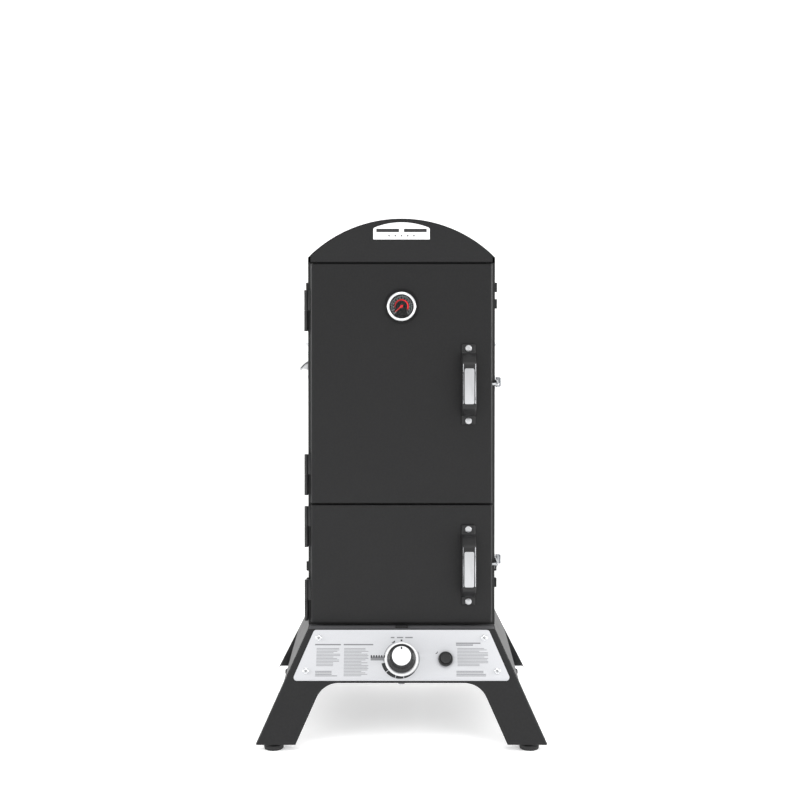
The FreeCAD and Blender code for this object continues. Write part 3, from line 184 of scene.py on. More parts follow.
# Base end panels.
# Front and rear are one A-shaped blank of the same steel each. The blank is cut round the arch between
# its legs, and its slanted edges are folded back round a small radius into narrow returns.
push = next(j for j in frame["joints"] if j["name"] == "knob_push")
slope_out = -Vector(push["axis"]).normalized()
slope_up = slope_out.cross(Vector((1, 0, 0))).normalized()


panel_low, panel_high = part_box("base_front_panel")
deck_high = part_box("base_deck")[1]
top_half_x, top_half_y = deck_high.x + 0.0015, deck_high.y + 0.0015
slope_base = Vector((0, -top_half_y, panel_high.z))


def slope_matrix(across, down, out):
    """A frame on the front slope: x to the right, y up the slope and z out of it."""
    origin = Vector((across, 0, 0)) + slope_base - slope_up * down + slope_out * out
    axes = Matrix((Vector((1, 0, 0)), slope_up, slope_out)).transposed()
    return Matrix.Translation(origin) @ axes.to_4x4()


def ride(piece, body, material, angle=35, replaces=()):
    """Finish a piece: its material, smooth shading by angle, its body and the node it stands for."""
    piece.data.materials.clear()
    piece.data.materials.append(material)
    bm = bmesh.new()
    bm.from_mesh(piece.data)
    for face in bm.faces:
        face.smooth = True
    for edge in bm.edges:
        edge.smooth = len(edge.link_faces) != 2 or edge.calc_face_angle(0) < math.radians(angle)
    bm.to_mesh(piece.data)
    bm.free()
    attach(piece, body)
    if replaces:
        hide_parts(*replaces)
    return piece


def thicken(piece, thickness, offset=-1):
    """Give a one-sided sheet its thickness, for good."""
    solid = piece.modifiers.new("gauge", "SOLIDIFY")
    solid.thickness = thickness
    solid.offset = offset
    settle(piece)


def settle(piece):
    """Replace an object's mesh by what its modifiers make of it."""
    bpy.context.view_layer.update()
    made = bpy.data.meshes.new_from_object(piece.evaluated_get(bpy.context.evaluated_depsgraph_get()))
    piece.modifiers.clear()
    piece.data = made


def arch_corner(centre, radius, start, end, steps=10):
    """Points round a corner, between two angles in degrees."""
    span = [math.radians(start + (end - start) * i / steps) for i in range(steps + 1)]
    return [(centre[0] + radius * math.cos(t), centre[1] + radius * math.sin(t)) for t in span]


def prism(bm, outline, low, high):
    """Extrude a flat outline of (x, y) points between two heights; return its upper face."""
    bottom = bm.faces.new([bm.verts.new((x, y, low)) for x, y in outline])
    raised = bmesh.ops.extrude_face_region(bm, geom=[bottom])["geom"]
    bmesh.ops.translate(bm, verts=[g for g in raised if isinstance(g, bmesh.types.BMVert)],
                        vec=(0, 0, high - low))
    return next(g for g in raised if isinstance(g, bmesh.types.BMFace))


def holed_sheet(name, loops, thickness, bevel):
    """A flat sheet with holes: the first loop is its outline, the rest are cut out; it lies on z = 0."""
    curve = bpy.data.curves.new(name, "CURVE")
    curve.dimensions, curve.fill_mode = "2D", "BOTH"
    curve.extrude, curve.bevel_depth, curve.bevel_resolution = thickness / 2 - bevel, bevel, 1
    curve.offset = -bevel
    for loop in loops:
        spline = curve.splines.new("POLY")
        spline.points.add(len(loop) - 1)
        for point, (x, y) in zip(spline.points, loop):
            point.co = (x, y, 0, 1)
        spline.use_cyclic_u = True
    drawn = bpy.data.objects.new(name + "_outline", curve)
    bpy.context.scene.collection.objects.link(drawn)
    bpy.context.view_layer.update()
    mesh = bpy.data.meshes.new_from_object(drawn)
    mesh.transform(Matrix.Translation((0, 0, thickness / 2)))
    bpy.data.objects.remove(drawn)
    piece = bpy.data.objects.new(name, mesh)
    bpy.context.scene.collection.objects.link(piece)
    bm = bmesh.new()
    bm.from_mesh(mesh)
    bmesh.ops.remove_doubles(bm, verts=bm.verts, dist=1e-6)
    bm.to_mesh(mesh)
    bm.free()
    return piece


def circle(x, y, radius, steps=40):
    """A round loop for a holed sheet."""
    return [(x + radius * math.cos(math.tau * i / steps), y + radius * math.sin(math.tau * i / steps))
            for i in range(steps)]


def lie(piece, matrix):
    """Move a piece's mesh, so that its object stays at the origin."""
    piece.data.transform(matrix)
    return piece


slope_length = (panel_high.z - panel_low.z) / slope_up.z
LEG_WIDTH, ARCH_DOWN, ARCH_RADIUS, LEG_LEAN = 0.093, 0.1286, 0.056, 0.061
GAUGE = 0.0015
foot_half_x = panel_high.x
inner_x = foot_half_x - LEG_WIDTH
shoulder_x = inner_x - LEG_LEAN
corner_turn = math.degrees(math.atan2(slope_length - ARCH_DOWN, LEG_LEAN))
reach = ARCH_RADIUS * math.tan(math.radians(corner_turn / 2))


def end_panel(name, node, back):
    """An end panel with rounded arch corners and folded returns."""
    right_arch = arch_corner((shoulder_x - reach, -ARCH_DOWN - ARCH_RADIUS), ARCH_RADIUS, 90 - corner_turn,
                             90)
    outline = [(-top_half_x, 0), (-foot_half_x, -slope_length), (-inner_x, -slope_length)]
    outline += [(-x, y) for x, y in right_arch] + right_arch[::-1]
    outline += [(inner_x, -slope_length), (foot_half_x, -slope_length), (top_half_x, 0)]
    outline = [p for i, p in enumerate(outline) if i == 0 or math.dist(p, outline[i - 1]) > 1e-5]
    base = slope_matrix(0, 0, 0)

    def build(bm):
        sheet = bm.faces.new([bm.verts.new(base @ Vector((x, y, 0))) for x, y in outline])
        folds = [e for e in sheet.edges if max(v.co.z for v in e.verts) > panel_high.z - 0.001
                 and min(v.co.z for v in e.verts) < panel_low.z + 0.003]
        for fold in folds:
            made = bmesh.ops.extrude_edge_only(bm, edges=[fold])["geom"]
            bmesh.ops.translate(bm, verts=[g for g in made if isinstance(g, bmesh.types.BMVert)],
                                vec=(0, 0.014, 0))
        bmesh.ops.bevel(bm, geom=folds, offset=0.002, segments=3, affect="EDGES")
        if back:
            bmesh.ops.scale(bm, verts=bm.verts, vec=(1, -1, 1))

    piece = sculpt(name, build)
    piece.data.flip_normals() if piece.data.polygons[0].normal.y * (1 if back else -1) < 0 else None
    thicken(piece, GAUGE)
    reach_y = max(abs(corner.y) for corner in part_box(node))
    for vertex in piece.data.vertices:
        vertex.co.y = max(-reach_y, min(reach_y, vertex.co.y))
    return ride(piece, "cabinet", powder_coat, replaces=[node])


end_panel("front_leg_panel", "base_front_panel", False)
end_panel("rear_leg_panel", "base_rear_panel", True)


# Doors.
# Each door is a shallow pan pressed from one sheet, its long edges rolled over a 6 mm radius and its
# ends folded. The keeper peg that the latch hooks over is a steel pin welded to the right-hand edge.
door_coat = finish_material("powder_coated_door_skin_satin_black", ("#111112", "#151516"), 5.0, 0.06,
                            rough=(0.42, 0.52), **{"Specular IOR Level": 0.3})
bright_peg = finish_material("zinc_plated_steel_pin", ("#A9ABAD", "#C2C4C6"), 1.2, 0.01, (1, 1, 6),
                             rough=(0.25, 0.38), Metallic=1.0)


def lathe(bm, profile, steps=64):
    """Spin an outline of (radius, height) points about z."""
    rings = []
    for radius, height in profile:
        turn = [math.tau * i / steps for i in range(steps if radius else 1)]
        rings.append([bm.verts.new((radius * math.cos(t), radius * math.sin(t), height)) for t in turn])
    for low, high in zip(rings, rings[1:]):
        for i in range(steps if max(len(low), len(high)) > 1 else 0):
            j = (i + 1) % steps
            corners = (low[i % len(low)], low[j % len(low)], high[j % len(high)], high[i % len(high)])
            bm.faces.new(list(dict.fromkeys(corners)))


def soften(piece, width, segments=2, angle=40):
    """Round a piece's hard edges."""
    edge = piece.modifiers.new("edge", "BEVEL")
    edge.width, edge.segments, edge.limit_method = width, segments, "ANGLE"
    edge.angle_limit = math.radians(angle)
    settle(piece)
    return piece


def rolled_pan(half, front, back, roll):
    """The plan outline of a pan whose two front edges are rolled."""
    right = arch_corner((half - roll, front + roll), roll, 0, -90, 8)
    return [(half, back)] + right + [(-x, y) for x, y in right[::-1]] + [(-half, back)]


def open_back(bm, back):
    """Take away a pan's rear face."""
    rear = [f for f in bm.faces if all(abs(v.co.y - back) < 1e-5 for v in f.verts)]
    bmesh.ops.delete(bm, geom=rear, context="FACES")


def door_skin(body, node):
    """A door's pan and its keeper peg."""
    low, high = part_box(f"{body}_liner")
    back, front = high.y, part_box("badge_plate")[1].y
    half = high.x + GAUGE

    def build(bm):
        prism(bm, rolled_pan(half, front, back, 0.006), low.z - GAUGE, high.z + GAUGE)
        ends = [e for e in bm.edges if abs(e.verts[0].co.z - e.verts[1].co.z) < 1e-6
                and min(v.co.y for v in e.verts) < back - 0.001]
        open_back(bm, back)
        bmesh.ops.bevel(bm, geom=[e for e in ends if e.is_valid], offset=0.0012, segments=2, affect="EDGES")

    skin = sculpt(f"{body}_pan", build)
    thicken(skin, GAUGE)
    ride(skin, body, door_coat, replaces=[node])
    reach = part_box(node)[1].x
    level = next(j for j in frame["joints"] if j["name"] == body.replace("door", "latch_lift"))["pos_m"][2]
    peg_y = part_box("latch_bases")[0].y + 0.018 - 0.049
    tip = [(0.003, half - 0.001), (0.003, reach - 0.0008), (0.0022, reach), (0, reach)]
    peg = sculpt(f"{body}_keeper_peg", lambda bm: lathe(bm, tip, 32))
    along = Matrix.Translation((0, peg_y, level)) @ Matrix.Rotation(math.radians(90), 4, "Y")
    ride(lie(peg, along), body, bright_peg)


door_skin("upper_door", "upper_door_skin")
door_skin("lower_door", "lower_door_skin")


# Hood front and badge.
# The hood's front is a third pan of the same sheet whose top edge follows the arch. A blank satin
# aluminium badge with an arched top is riveted to it, with a thin polished border.
# Satin aluminium with a faint white emission added as a painted glow, for the light its pale face reflects.
badge_satin_glow = finish_material("satin_anodised_aluminium_painted_glow", ("#E9E9EA", "#F6F6F7"), 2.0, 0.004, (1, 12, 12),
                              Roughness=0.42, Metallic=0.25, **{"Emission Color": colour("#FFFFFF"),
                                                               "Emission Strength": 0.12})
badge_ink = finish_material("dark_printed_ink", ("#1E1E1F", "#2A2A2B"), 1.5, 0.002, Roughness=0.5)


def arch_points(radius, half, centre_z, steps=48):
    """Points along an arch from its right end to its left, about a centre on the middle line."""
    end = math.asin(half / radius)
    return [(radius * math.sin(end * (1 - 2 * i / steps)),
             centre_z + radius * math.cos(end * (1 - 2 * i / steps)))
            for i in range(steps + 1)]


fascia_low, fascia_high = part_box("hood_fascia")
arch_radius = 0.321
arch_centre = fascia_high.z - arch_radius


def fascia(bm):
    """The arched pan: a front sheet with rolled edges and a folded rim all round."""
    half, front, back, roll = fascia_high.x, fascia_low.y, fascia_high.y, 0.004
    profile = [(half, fascia_low.z)] + arch_points(arch_radius, half, arch_centre) + [(-half, fascia_low.z)]
    face = bm.faces.new([bm.verts.new((x, front, z)) for x, z in profile])
    rim = bmesh.ops.extrude_face_region(bm, geom=[face])["geom"]
    bmesh.ops.translate(bm, verts=[g for g in rim if isinstance(g, bmesh.types.BMVert)],
                        vec=(0, back - front, 0))
    open_back(bm, back)
    edges = [e for e in bm.edges if all(abs(v.co.y - front) < 1e-6 for v in e.verts)]
    bmesh.ops.bevel(bm, geom=edges, offset=roll / 2, segments=4, affect="EDGES")


hood_front = sculpt("hood_front_pan", fascia)
thicken(hood_front, GAUGE)
ride(hood_front, "cabinet", powder_coat, angle=50, replaces=["hood_fascia"])


badge_low, badge_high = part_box("badge_plate")
badge_half, badge_radius = badge_high.x, 0.176


def badge_outline(inset):
    """The badge's outline, drawn in from its edge: a flat foot, short sides and an arched top."""
    half, radius = badge_half - inset, badge_radius - inset
    arch = arch_points(radius, half - 0.003, badge_high.z - badge_radius, 24)
    return [(half, badge_low.z + inset)] + [(half, arch[0][1] - 0.003)] + arch + [
        (-half, arch[-1][1] - 0.003), (-half, badge_low.z + inset)]


def upright_plate(name, outline, back, front):
    """A flat plate standing in the x-z plane, from its back to its front face."""
    piece = sculpt(name, lambda bm: prism(bm, outline, 0, back - front))
    return lie(piece, Matrix.Translation((0, back, 0)) @ Matrix.Rotation(math.radians(90), 4, "X"))


badge = upright_plate("blank_badge", badge_outline(0), badge_high.y, badge_low.y)
ride(soften(badge, 0.0005), "cabinet", badge_satin_glow, replaces=["badge_plate"])
for name, low_z, tall, spans in (
    ("badge_upper_bar", 1.2146, 0.0082, ((-0.061, -0.006), (0.006, 0.061))),
    ("badge_lower_bar", 1.2042, 0.0032, [(x - 0.002, x + 0.002)
                                         for x in (-0.030, -0.015, 0, 0.015, 0.030)]),
):
    for i, (left, right) in enumerate(spans):
        bar = [(left, low_z), (right, low_z), (right, low_z + tall), (left, low_z + tall)]
        ride(upright_plate(f"{name}_{i}", bar, badge_low.y + 0.0002, badge_low.y - 0.0001), "cabinet",
             badge_ink)


# Hinges.
# Rolled steel knuckles in gloss black: a leaf screwed to the side wall with its pin, and a strap
# from the door's edge that turns on it.
hinge_enamel = finish_material("black_enamelled_hinge_steel", ("#0C0C0D", "#121213"), 3.0, 0.04,
                               rough=(0.32, 0.44))


def refined(name, body, node, material, radius):
    """A node's own shape with its sharp edges broken to a small radius."""
    source = frame["nodes"][node]
    bm = bmesh.new()
    bm.from_mesh(source.data)
    bmesh.ops.transform(bm, matrix=source.matrix_world, verts=bm.verts)
    bmesh.ops.remove_doubles(bm, verts=bm.verts, dist=1e-6)
    bmesh.ops.dissolve_limit(bm, angle_limit=math.radians(1), verts=bm.verts, edges=bm.edges)
    mesh = bpy.data.meshes.new(name)
    bm.to_mesh(mesh)
    bm.free()
    piece = bpy.data.objects.new(name, mesh)
    bpy.context.scene.collection.objects.link(piece)
    return ride(soften(piece, radius), body, material, replaces=[node])


refined("frame_hinge_leaves", "cabinet", "frame_hinges", hinge_enamel, 0.0006)
refined("upper_hinge_straps", "upper_door", "upper_door_hinges", hinge_enamel, 0.0006)
refined("lower_hinge_straps", "lower_door", "lower_door_hinges", hinge_enamel, 0.0006)


def dome_screw(name, body, matrix, radius, rise, recess=True):
    """A round-headed machine screw with a cross recess and a thin washer under its head."""
    def build(bm):
        head = [(radius * math.cos(t), 0.0006 + (rise - 0.0006) * math.sin(t))
                for t in [math.radians(15 * i) for i in range(6)]]
        lathe(bm, [(0, 0), (radius * 1.04, 0), (radius * 1.04, 0.0005)] + head + [(0, rise)], 40)
    screw = sculpt(name, build)
    ride(lie(screw, matrix), body, bright_screw if recess else satin_insert)
    if not recess:
        return
    arm, half = radius * 0.42, radius * 0.1
    cross = [(arm, half), (half, half), (half, arm), (-half, arm), (-half, half), (-arm, half),
             (-arm, -half), (-half, -half), (-half, -arm), (half, -arm), (half, -half), (arm, -half)]
    slot_piece = sculpt(f"{name}_recess", lambda bm: prism(bm, cross, rise * 0.93, rise * 0.985))
    ride(lie(slot_piece, matrix), body, recess_shade)


bright_screw = finish_material("bright_zinc_screw", ("#C9CBCD", "#DCDDDF"), 1.0, 0.006, rough=(0.2, 0.32),
                               Metallic=0.85)
recess_shade = finish_material("screw_recess_shadow", ("#3A3B3C", "#48494A"), 1.0, 0.004, rough=(0.5, 0.6),
                               Metallic=0.5)


# Handles.
# A glass-filled nylon bow on two screwed feet, its grip edged by bright strips that are painted highlights for the
# light on its rounded edges, with a satin stainless insert let into its face and a dome screw through each foot.
handle_nylon = finish_material("moulded_glass_filled_nylon", ("#08080A", "#101011"), 1.6, 0.05,
                               rough=(0.5, 0.62))
satin_insert = finish_material("satin_stainless_insert", ("#AFB0B2", "#C2C3C5"), 1.4, 0.004, (14, 14, 1),
                               Roughness=0.34, Metallic=0.55)
# Painted highlight: a bright strip stands in for the light caught by each rounded edge of the grip.
painted_edge_highlight = finish_material("painted_highlight_edge_strip", ("#B9BABD", "#D2D3D6"), 2.5, 0.004, (6, 6, 1),
                                rough=(0.14, 0.26), Metallic=0.9)
DOOR_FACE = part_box("badge_plate")[1].y


def facing(x, z, out=0.0):
    """A frame on the doors' face: x to the right, y up and z out of it."""
    axes = Matrix(((1, 0, 0, 0), (0, 0, -1, 0), (0, 1, 0, 0), (0, 0, 0, 1)))
    return Matrix.Translation((x, DOOR_FACE - out, z)) @ axes


def smooth_path(points, steps=6):
    """A smooth curve through given points, as a longer list of points."""
    ends = [points[0]] + list(points) + [points[-1]]
    path = []
    for a, b, c, d in zip(ends, ends[1:], ends[2:], ends[3:]):
        for i in range(steps):
            t = i / steps
            path.append(tuple(0.5 * (2 * q + (r - p) * t + (2 * p - 5 * q + 4 * r - s) * t * t
                                     + (3 * q - p - 3 * r + s) * t ** 3) for p, q, r, s in zip(a, b, c, d)))
    return path + [points[-1]]


def handle(level):
    """One handle and its trim."""
    body, node, trim = f"{level}_door", f"{level}_door_handle", f"{level}_handle_trim"
    low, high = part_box(node)
    mid_x, mid_z = (low.x + high.x) / 2, (low.z + high.z) / 2
    half, wide = (high.z - low.z) / 2, (high.x - low.x) / 2
    out, flange, gap, bar, screw_z = DOOR_FACE - low.y, 0.007, 0.046, 0.016, 0.0881
    # one side of the bow from the middle of the grip to the tip of its foot: outer line, then inner
    outer = [(0, out), (gap - 0.004, out), (gap + 0.008, out - 0.003), (gap + bar, out - 0.014),
             (gap + bar + 0.009, 0.024), (gap + bar + 0.014, flange + 0.002), (screw_z - 0.0085, flange)]
    inner = [(gap + 0.010, 0), (gap + 0.006, 0.012), (gap + 0.001, out - bar - 0.006),
             (gap - 0.006, out - bar), (0, out - bar)]
    side = smooth_path(outer, 4) + [(half - 0.002, flange), (half, flange - 0.002),
                                    (half, 0)] + smooth_path(inner, 4)
    loop = [(d, z) for z, d in side] + [(d, -z) for z, d in reversed(side) if z > 1e-9]

    def build(bm):
        prism(bm, loop, -wide, wide)

    bow = sculpt(f"{level}_handle_bow", build)
    stand = Matrix(((0, 0, 1, mid_x), (-1, 0, 0, DOOR_FACE), (0, 1, 0, mid_z), (0, 0, 0, 1)))
    ride(soften(lie(bow, stand), 0.0026, 3, 50), body, handle_nylon, 40, [node])

    half_w, half_z, corner = 0.01175, 0.04275, 0.004
    loop = []
    for sx, sz, turn in ((1, 1, 0), (-1, 1, 90), (-1, -1, 180), (1, -1, 270)):
        loop += arch_corner((sx * (half_w - corner), sz * (half_z - corner)), corner, turn, turn + 90, 6)
    insert = sculpt(f"{level}_handle_insert", lambda bm: prism(bm, loop, -0.001, 0.0015))
    lie(insert, facing(mid_x, mid_z, out))
    ride(soften(insert, 0.0006), body, satin_insert, replaces=[trim])
    # Painted highlights along both grip edges; the right strip is wider because the light falls from the right.
    for sign, name, slim in ((-1, "left", 0.0006), (1, "right", 0.0012)):
        x = sign * (wide - 0.0019)
        ring = [(x - slim, -0.042), (x + slim, -0.042), (x + slim, 0.054), (x - slim, 0.054)]
        strip = sculpt(f"{level}_handle_{name}_strip", lambda bm: prism(bm, ring, -0.005, 0.0002))
        lie(strip, facing(mid_x, mid_z, out))
        ride(soften(strip, 0.0008), body, painted_edge_highlight)
    for sign, name in ((-1, "lower"), (1, "upper")):
        at = facing(mid_x, mid_z + sign * screw_z, flange)
        dome_screw(f"{level}_handle_{name}_screw", body, at, 0.0075, 0.0035, False)


handle("upper")
handle("lower")


# Thermometer.
# A dial thermometer in a black cup, with a polished stainless bezel. The printed dial has two rings
# of ticks and a red band that thickens towards the hot end, and the red pointer stands on a red hub.
case_black = finish_material("black_moulded_cup", ("#050506", "#0A0A0B"), 1.5, 0.02, rough=(0.5, 0.62),
                             **{"Specular IOR Level": 0.25})
# Polished stainless with a faint white emission added as a painted glow, for the light the bezel reflects.
polished_bezel_glow = finish_material("polished_stainless_bezel_painted_glow", ("#DADBDD", "#ECEDEE"), 2.0, 0.003,
                                 rough=(0.12, 0.22), Metallic=0.7,
                                 **{"Emission Color": colour("#FFFFFF"), "Emission Strength": 0.12})
dial_print = finish_material("matt_black_dial_print", ("#0C0D0E", "#111213"), 1.2, 0.003, rough=(0.6, 0.72),
                             **{"Specular IOR Level": 0.2})
tick_print = finish_material("grey_dial_marks", ("#A9B0B2", "#BCC3C5"), 0.8, 0.002, rough=(0.5, 0.6))
# Red dial enamel, its own colour, with a red emission added as a painted glow to brighten it.
red_print_glow = finish_material("red_dial_enamel_painted_glow", ("#E5101A", "#F01C22"), 0.8, 0.003, rough=(0.4, 0.5),
                            **{"Emission Color": colour("#FF1018"), "Emission Strength": 0.25})
gauge_z = next(j for j in frame["joints"] if j["name"] == "pointer_turn")["pos_m"][2]
gauge = facing(0, gauge_z)


def front_turned(name, profile, node, material, steps=72, body="upper_door"):
    """A turned piece of the thermometer."""
    piece = sculpt(name, lambda bm: lathe(bm, profile, steps))
    return ride(lie(piece, gauge), body, material, 30, [node] if node else ())


def band(points_in, points_out, low, high):
    """A builder for a flat strip between two lines of points."""
    return lambda bm: prism(bm, list(points_in) + list(points_out)[::-1], low, high)


front_turned("thermometer_cup", [
    (0, -0.07), (0.003, -0.07), (0.0035, -0.0695), (0.0035, 0), (0.0415, 0), (0.0425, 0.0006),
    (0.0425, 0.002),
    (0.0418, 0.0028), (0.0405, 0.003), (0.0368, 0.003), (0.0362, 0.0022), (0.0012, 0.0022),
    (0.0012, 0.0078),
    (0.001, 0.008), (0, 0.008)], "gauge_case", case_black)
front_turned("thermometer_bezel", [
    (0.0290, 0.003), (0.0351, 0.003), (0.0355, 0.0036), (0.0355, 0.0105), (0.0351, 0.0126),
    (0.0341, 0.0142),
    (0.0329, 0.015), (0.0312, 0.015), (0.0300, 0.0143), (0.0290, 0.0122), (0.0290, 0.003)],
    "gauge_bezel", polished_bezel_glow, 96)
front_turned("thermometer_dial", [(0.0012, 0.003), (0.0289, 0.003), (0.0289, 0.0039), (0.0286, 0.004),
                                  (0.0012, 0.004), (0.0012, 0.003)], "gauge_dial", dial_print)


def on_dial(name, build, material, body="upper_door"):
    """A printed or mounted part of the dial."""
    return ride(lie(sculpt(name, build), gauge), body, material, 30)


def ticks(inner, outer, half, count, start=225, sweep=270):
    """A ring of short bars round the dial."""
    def build(bm):
        for i in range(count):
            turn = math.radians(start - sweep * i / (count - 1))
            along, across = Vector((math.cos(turn), math.sin(turn))), Vector((-math.sin(turn),
                                                                              math.cos(turn)))
            corners = [along * r + across * s for r,
                       s in ((inner, -half), (outer, -half), (outer, half), (inner, half))]
            prism(bm, [tuple(c) for c in corners], 0.00395, 0.0042)
    return build


on_dial("dial_outer_ticks", ticks(0.0232, 0.0262, 0.00042, 28), tick_print)
on_dial("dial_numerals_ring", ticks(0.0190, 0.0214, 0.00085, 14), tick_print)
arc_turns = [math.radians(190 - 215 * i / 48) for i in range(49)]
arc_widths = [0.0006 + 0.0022 * i / 48 for i in range(49)]
arc_in = [((0.0158 - w / 2) * math.cos(t), (0.0158 - w / 2) * math.sin(t)) for t,
          w in zip(arc_turns, arc_widths)]
arc_out = [((0.0158 + w / 2) * math.cos(t), (0.0158 + w / 2) * math.sin(t)) for t,
           w in zip(arc_turns, arc_widths)]
on_dial("dial_red_band", band(arc_in, arc_out, 0.00395, 0.00425), red_print_glow)


def pointer(bm):
    """A tapered blade with a short tail, and its round hub."""
    turn = Matrix.Rotation(math.radians(220), 4, "Z")
    blade = [(-0.0045, -0.0009), (0.0195, -0.00035), (0.0208, 0), (0.0195, 0.00035), (-0.0045, 0.0009)]
    prism(bm, [tuple((turn @ Vector((x, y, 0)))[:2]) for x, y in blade], 0.0050, 0.0059)
    lathe(bm, [(0.00126, 0.0050), (0.0029, 0.0050), (0.0030, 0.0062), (0.0024, 0.0065), (0.00126, 0.0065),
               (0.00126, 0.0050)], 32)


ride(lie(sculpt("thermometer_pointer", pointer), gauge), "pointer", red_print_glow, 30,
     ["gauge_pointer"])
glass = bpy.data.materials.new("clear_dial_glass")
glass.use_nodes = True
glass.node_tree.nodes.clear()
streak = add_node(glass, "ShaderNodeTexNoise", {"Scale": 40.0, "Detail": 2.0})
gloss = add_node(glass, "ShaderNodeMapRange", {"To Min": 0.04, "To Max": 0.1},
                 {"Value": streak.outputs["Fac"]})
sheen = add_node(glass, "ShaderNodeBsdfGlossy", None, {"Roughness": gloss.outputs["Result"]})
clear = add_node(glass, "ShaderNodeBsdfTransparent")
pane = add_node(glass, "ShaderNodeMixShader", {"Fac": 0.006})
glass.node_tree.links.new(clear.outputs["BSDF"], pane.inputs[1])
glass.node_tree.links.new(sheen.outputs["BSDF"], pane.inputs[2])
add_node(glass, "ShaderNodeOutputMaterial", None, {"Surface": pane.outputs["Shader"]})
front_turned("thermometer_glass", [(0, 0.0112), (0.0286, 0.0112), (0.0289, 0.0116), (0.0286, 0.0122),
                                   (0.018, 0.0128), (0, 0.0131)], None, glass)


# Control plate.
# A trapezoid of brushed stainless steel, 2 mm thick, on the front slope. It is screen-printed with
# dark grey guide marks: rows of plain bars at both sides, a scale round the knob, and arrow marks.
brushed_plate = finish_material("brushed_stainless_control_plate", ("#B8B9BC", "#C4C5C8"), 1.2, 0.004,
                                (1, 10, 10),
                                Roughness=0.5, Metallic=0.25)
print_dark = finish_material("black_screen_print", ("#161617", "#202022"), 1.0, 0.002, rough=(0.5, 0.62))
print_grey = finish_material("grey_screen_print", ("#707174", "#7E7F82"), 1.0, 0.002, rough=(0.5, 0.62))
print_pale = finish_material("pale_screen_print", ("#87888B", "#949598"), 1.0, 0.002, rough=(0.5, 0.62))
PLATE_TOP, PLATE_BOTTOM, PLATE_T, KNOB_DOWN, PLATE_ROUND = 0.003, 0.124, 0.002, 0.073, 0.008
plate_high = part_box("control_plate")[1].x
plate_narrow = plate_high - 0.050


def rounded(corners, radius, steps=6):
    """A polygon's outline, counterclockwise, with every corner rounded."""
    loop = []
    count = len(corners)
    for i, corner in enumerate(corners):
        here = Vector(corner)
        before = (Vector(corners[i - 1]) - here).normalized()
        after = (Vector(corners[(i + 1) % count]) - here).normalized()
        half = before.angle(after) / 2
        centre = here + (before + after).normalized() * radius / math.sin(half)
        start = here + before * radius / math.tan(half) - centre
        turn = math.degrees(math.atan2(start.y, start.x))
        loop += arch_corner(centre, radius, turn, turn + 180 - math.degrees(2 * half), steps)
    return loop


plate_corners = [(-plate_high, -PLATE_BOTTOM), (plate_high, -PLATE_BOTTOM), (plate_narrow, -PLATE_TOP),
                 (-plate_narrow, -PLATE_TOP)]
igniter_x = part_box("igniter_button")[0].x * 0.5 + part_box("igniter_button")[1].x * 0.5
plate_loops = [rounded(plate_corners, PLATE_ROUND), circle(0, -KNOB_DOWN, 0.009),
               circle(igniter_x, -KNOB_DOWN, 0.015)]
control_plate = holed_sheet("control_plate_sheet", plate_loops, PLATE_T, 0.0004)
ride(lie(control_plate, slope_matrix(0, 0, 0)), "cabinet", brushed_plate, 30,
     ["control_plate"])
for i, (x, down) in enumerate([(s * x, d) for x, d in ((0.1996, 0.0224), (0.2287, 0.1013))
                               for s in (-1, 1)]):
    dome_screw(f"plate_screw_{i}", "cabinet", slope_matrix(x, down, PLATE_T), 0.0075, 0.0035)
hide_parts("control_plate_screws")
PRINT = 0.00008


def printed(name, shapes, material):
    """Marks on the control plate: each shape is a list of (across, down) corners in metres."""
    def build(bm):
        for shape in shapes:
            prism(bm, [(x, -d) for x, d in shape], -PRINT, PRINT)
    piece = sculpt(name, build)
    return ride(lie(piece, slope_matrix(0, 0, PLATE_T)), "cabinet", material)


def bar(x0, x1, down, tall):
    """A straight printed bar."""
    return [(x0, down + tall / 2), (x1, down + tall / 2), (x1, down - tall / 2), (x0, down - tall / 2)]


def text_block(left, right, top, bottom, pitch, seed):
    """Uneven rows of bars in place of lines of lettering."""
    pick = random.Random(seed)
    rows = int((bottom - top) / pitch)
    return [bar(left, right - (right - left) * pick.choice((0.02, 0.06, 0.14, 0.3)),
                top + (i + 0.5) * pitch,
                pitch * 0.5) for i in range(rows)]


headings = [bar(-0.208, -0.146, 0.0385, 0.0032), bar(-0.139, -0.068, 0.0385, 0.0032),
            bar(0.131, 0.190, 0.0352, 0.0030), bar(0.131, 0.172, 0.0395, 0.0028)]
printed("print_headings", headings, print_grey)
blocks = (text_block(-0.204, -0.146, 0.046, 0.091, 0.0034, 3) + text_block(-0.138, -0.078, 0.046, 0.117,
                                                                           0.0034, 5)
          + text_block(0.134, 0.209, 0.046, 0.093, 0.0034, 7))
printed("print_text_rows", blocks, print_pale)
feet_rows = text_block(-0.206, -0.150, 0.100, 0.117, 0.0036, 11) + text_block(0.131, 0.206, 0.100, 0.115,
                                                                              0.0036, 13)
printed("print_foot_rows", feet_rows, print_grey)


def ring_part(inner, outer, start, end, steps=24):
    """A curved mark round the knob, between two angles and tapering between two pairs of radii."""
    turns = [math.radians(start + (end - start) * i / steps) for i in range(steps + 1)]
    near = [inner[0] + (inner[1] - inner[0]) * i / steps for i in range(steps + 1)]
    far = [outer[0] + (outer[1] - outer[0]) * i / steps for i in range(steps + 1)]
    line = [(r * math.cos(t), KNOB_DOWN - r * math.sin(t)) for r, t in zip(near, turns)]
    return line + [(r * math.cos(t), KNOB_DOWN - r * math.sin(t)) for r, t in zip(far, turns)][::-1]


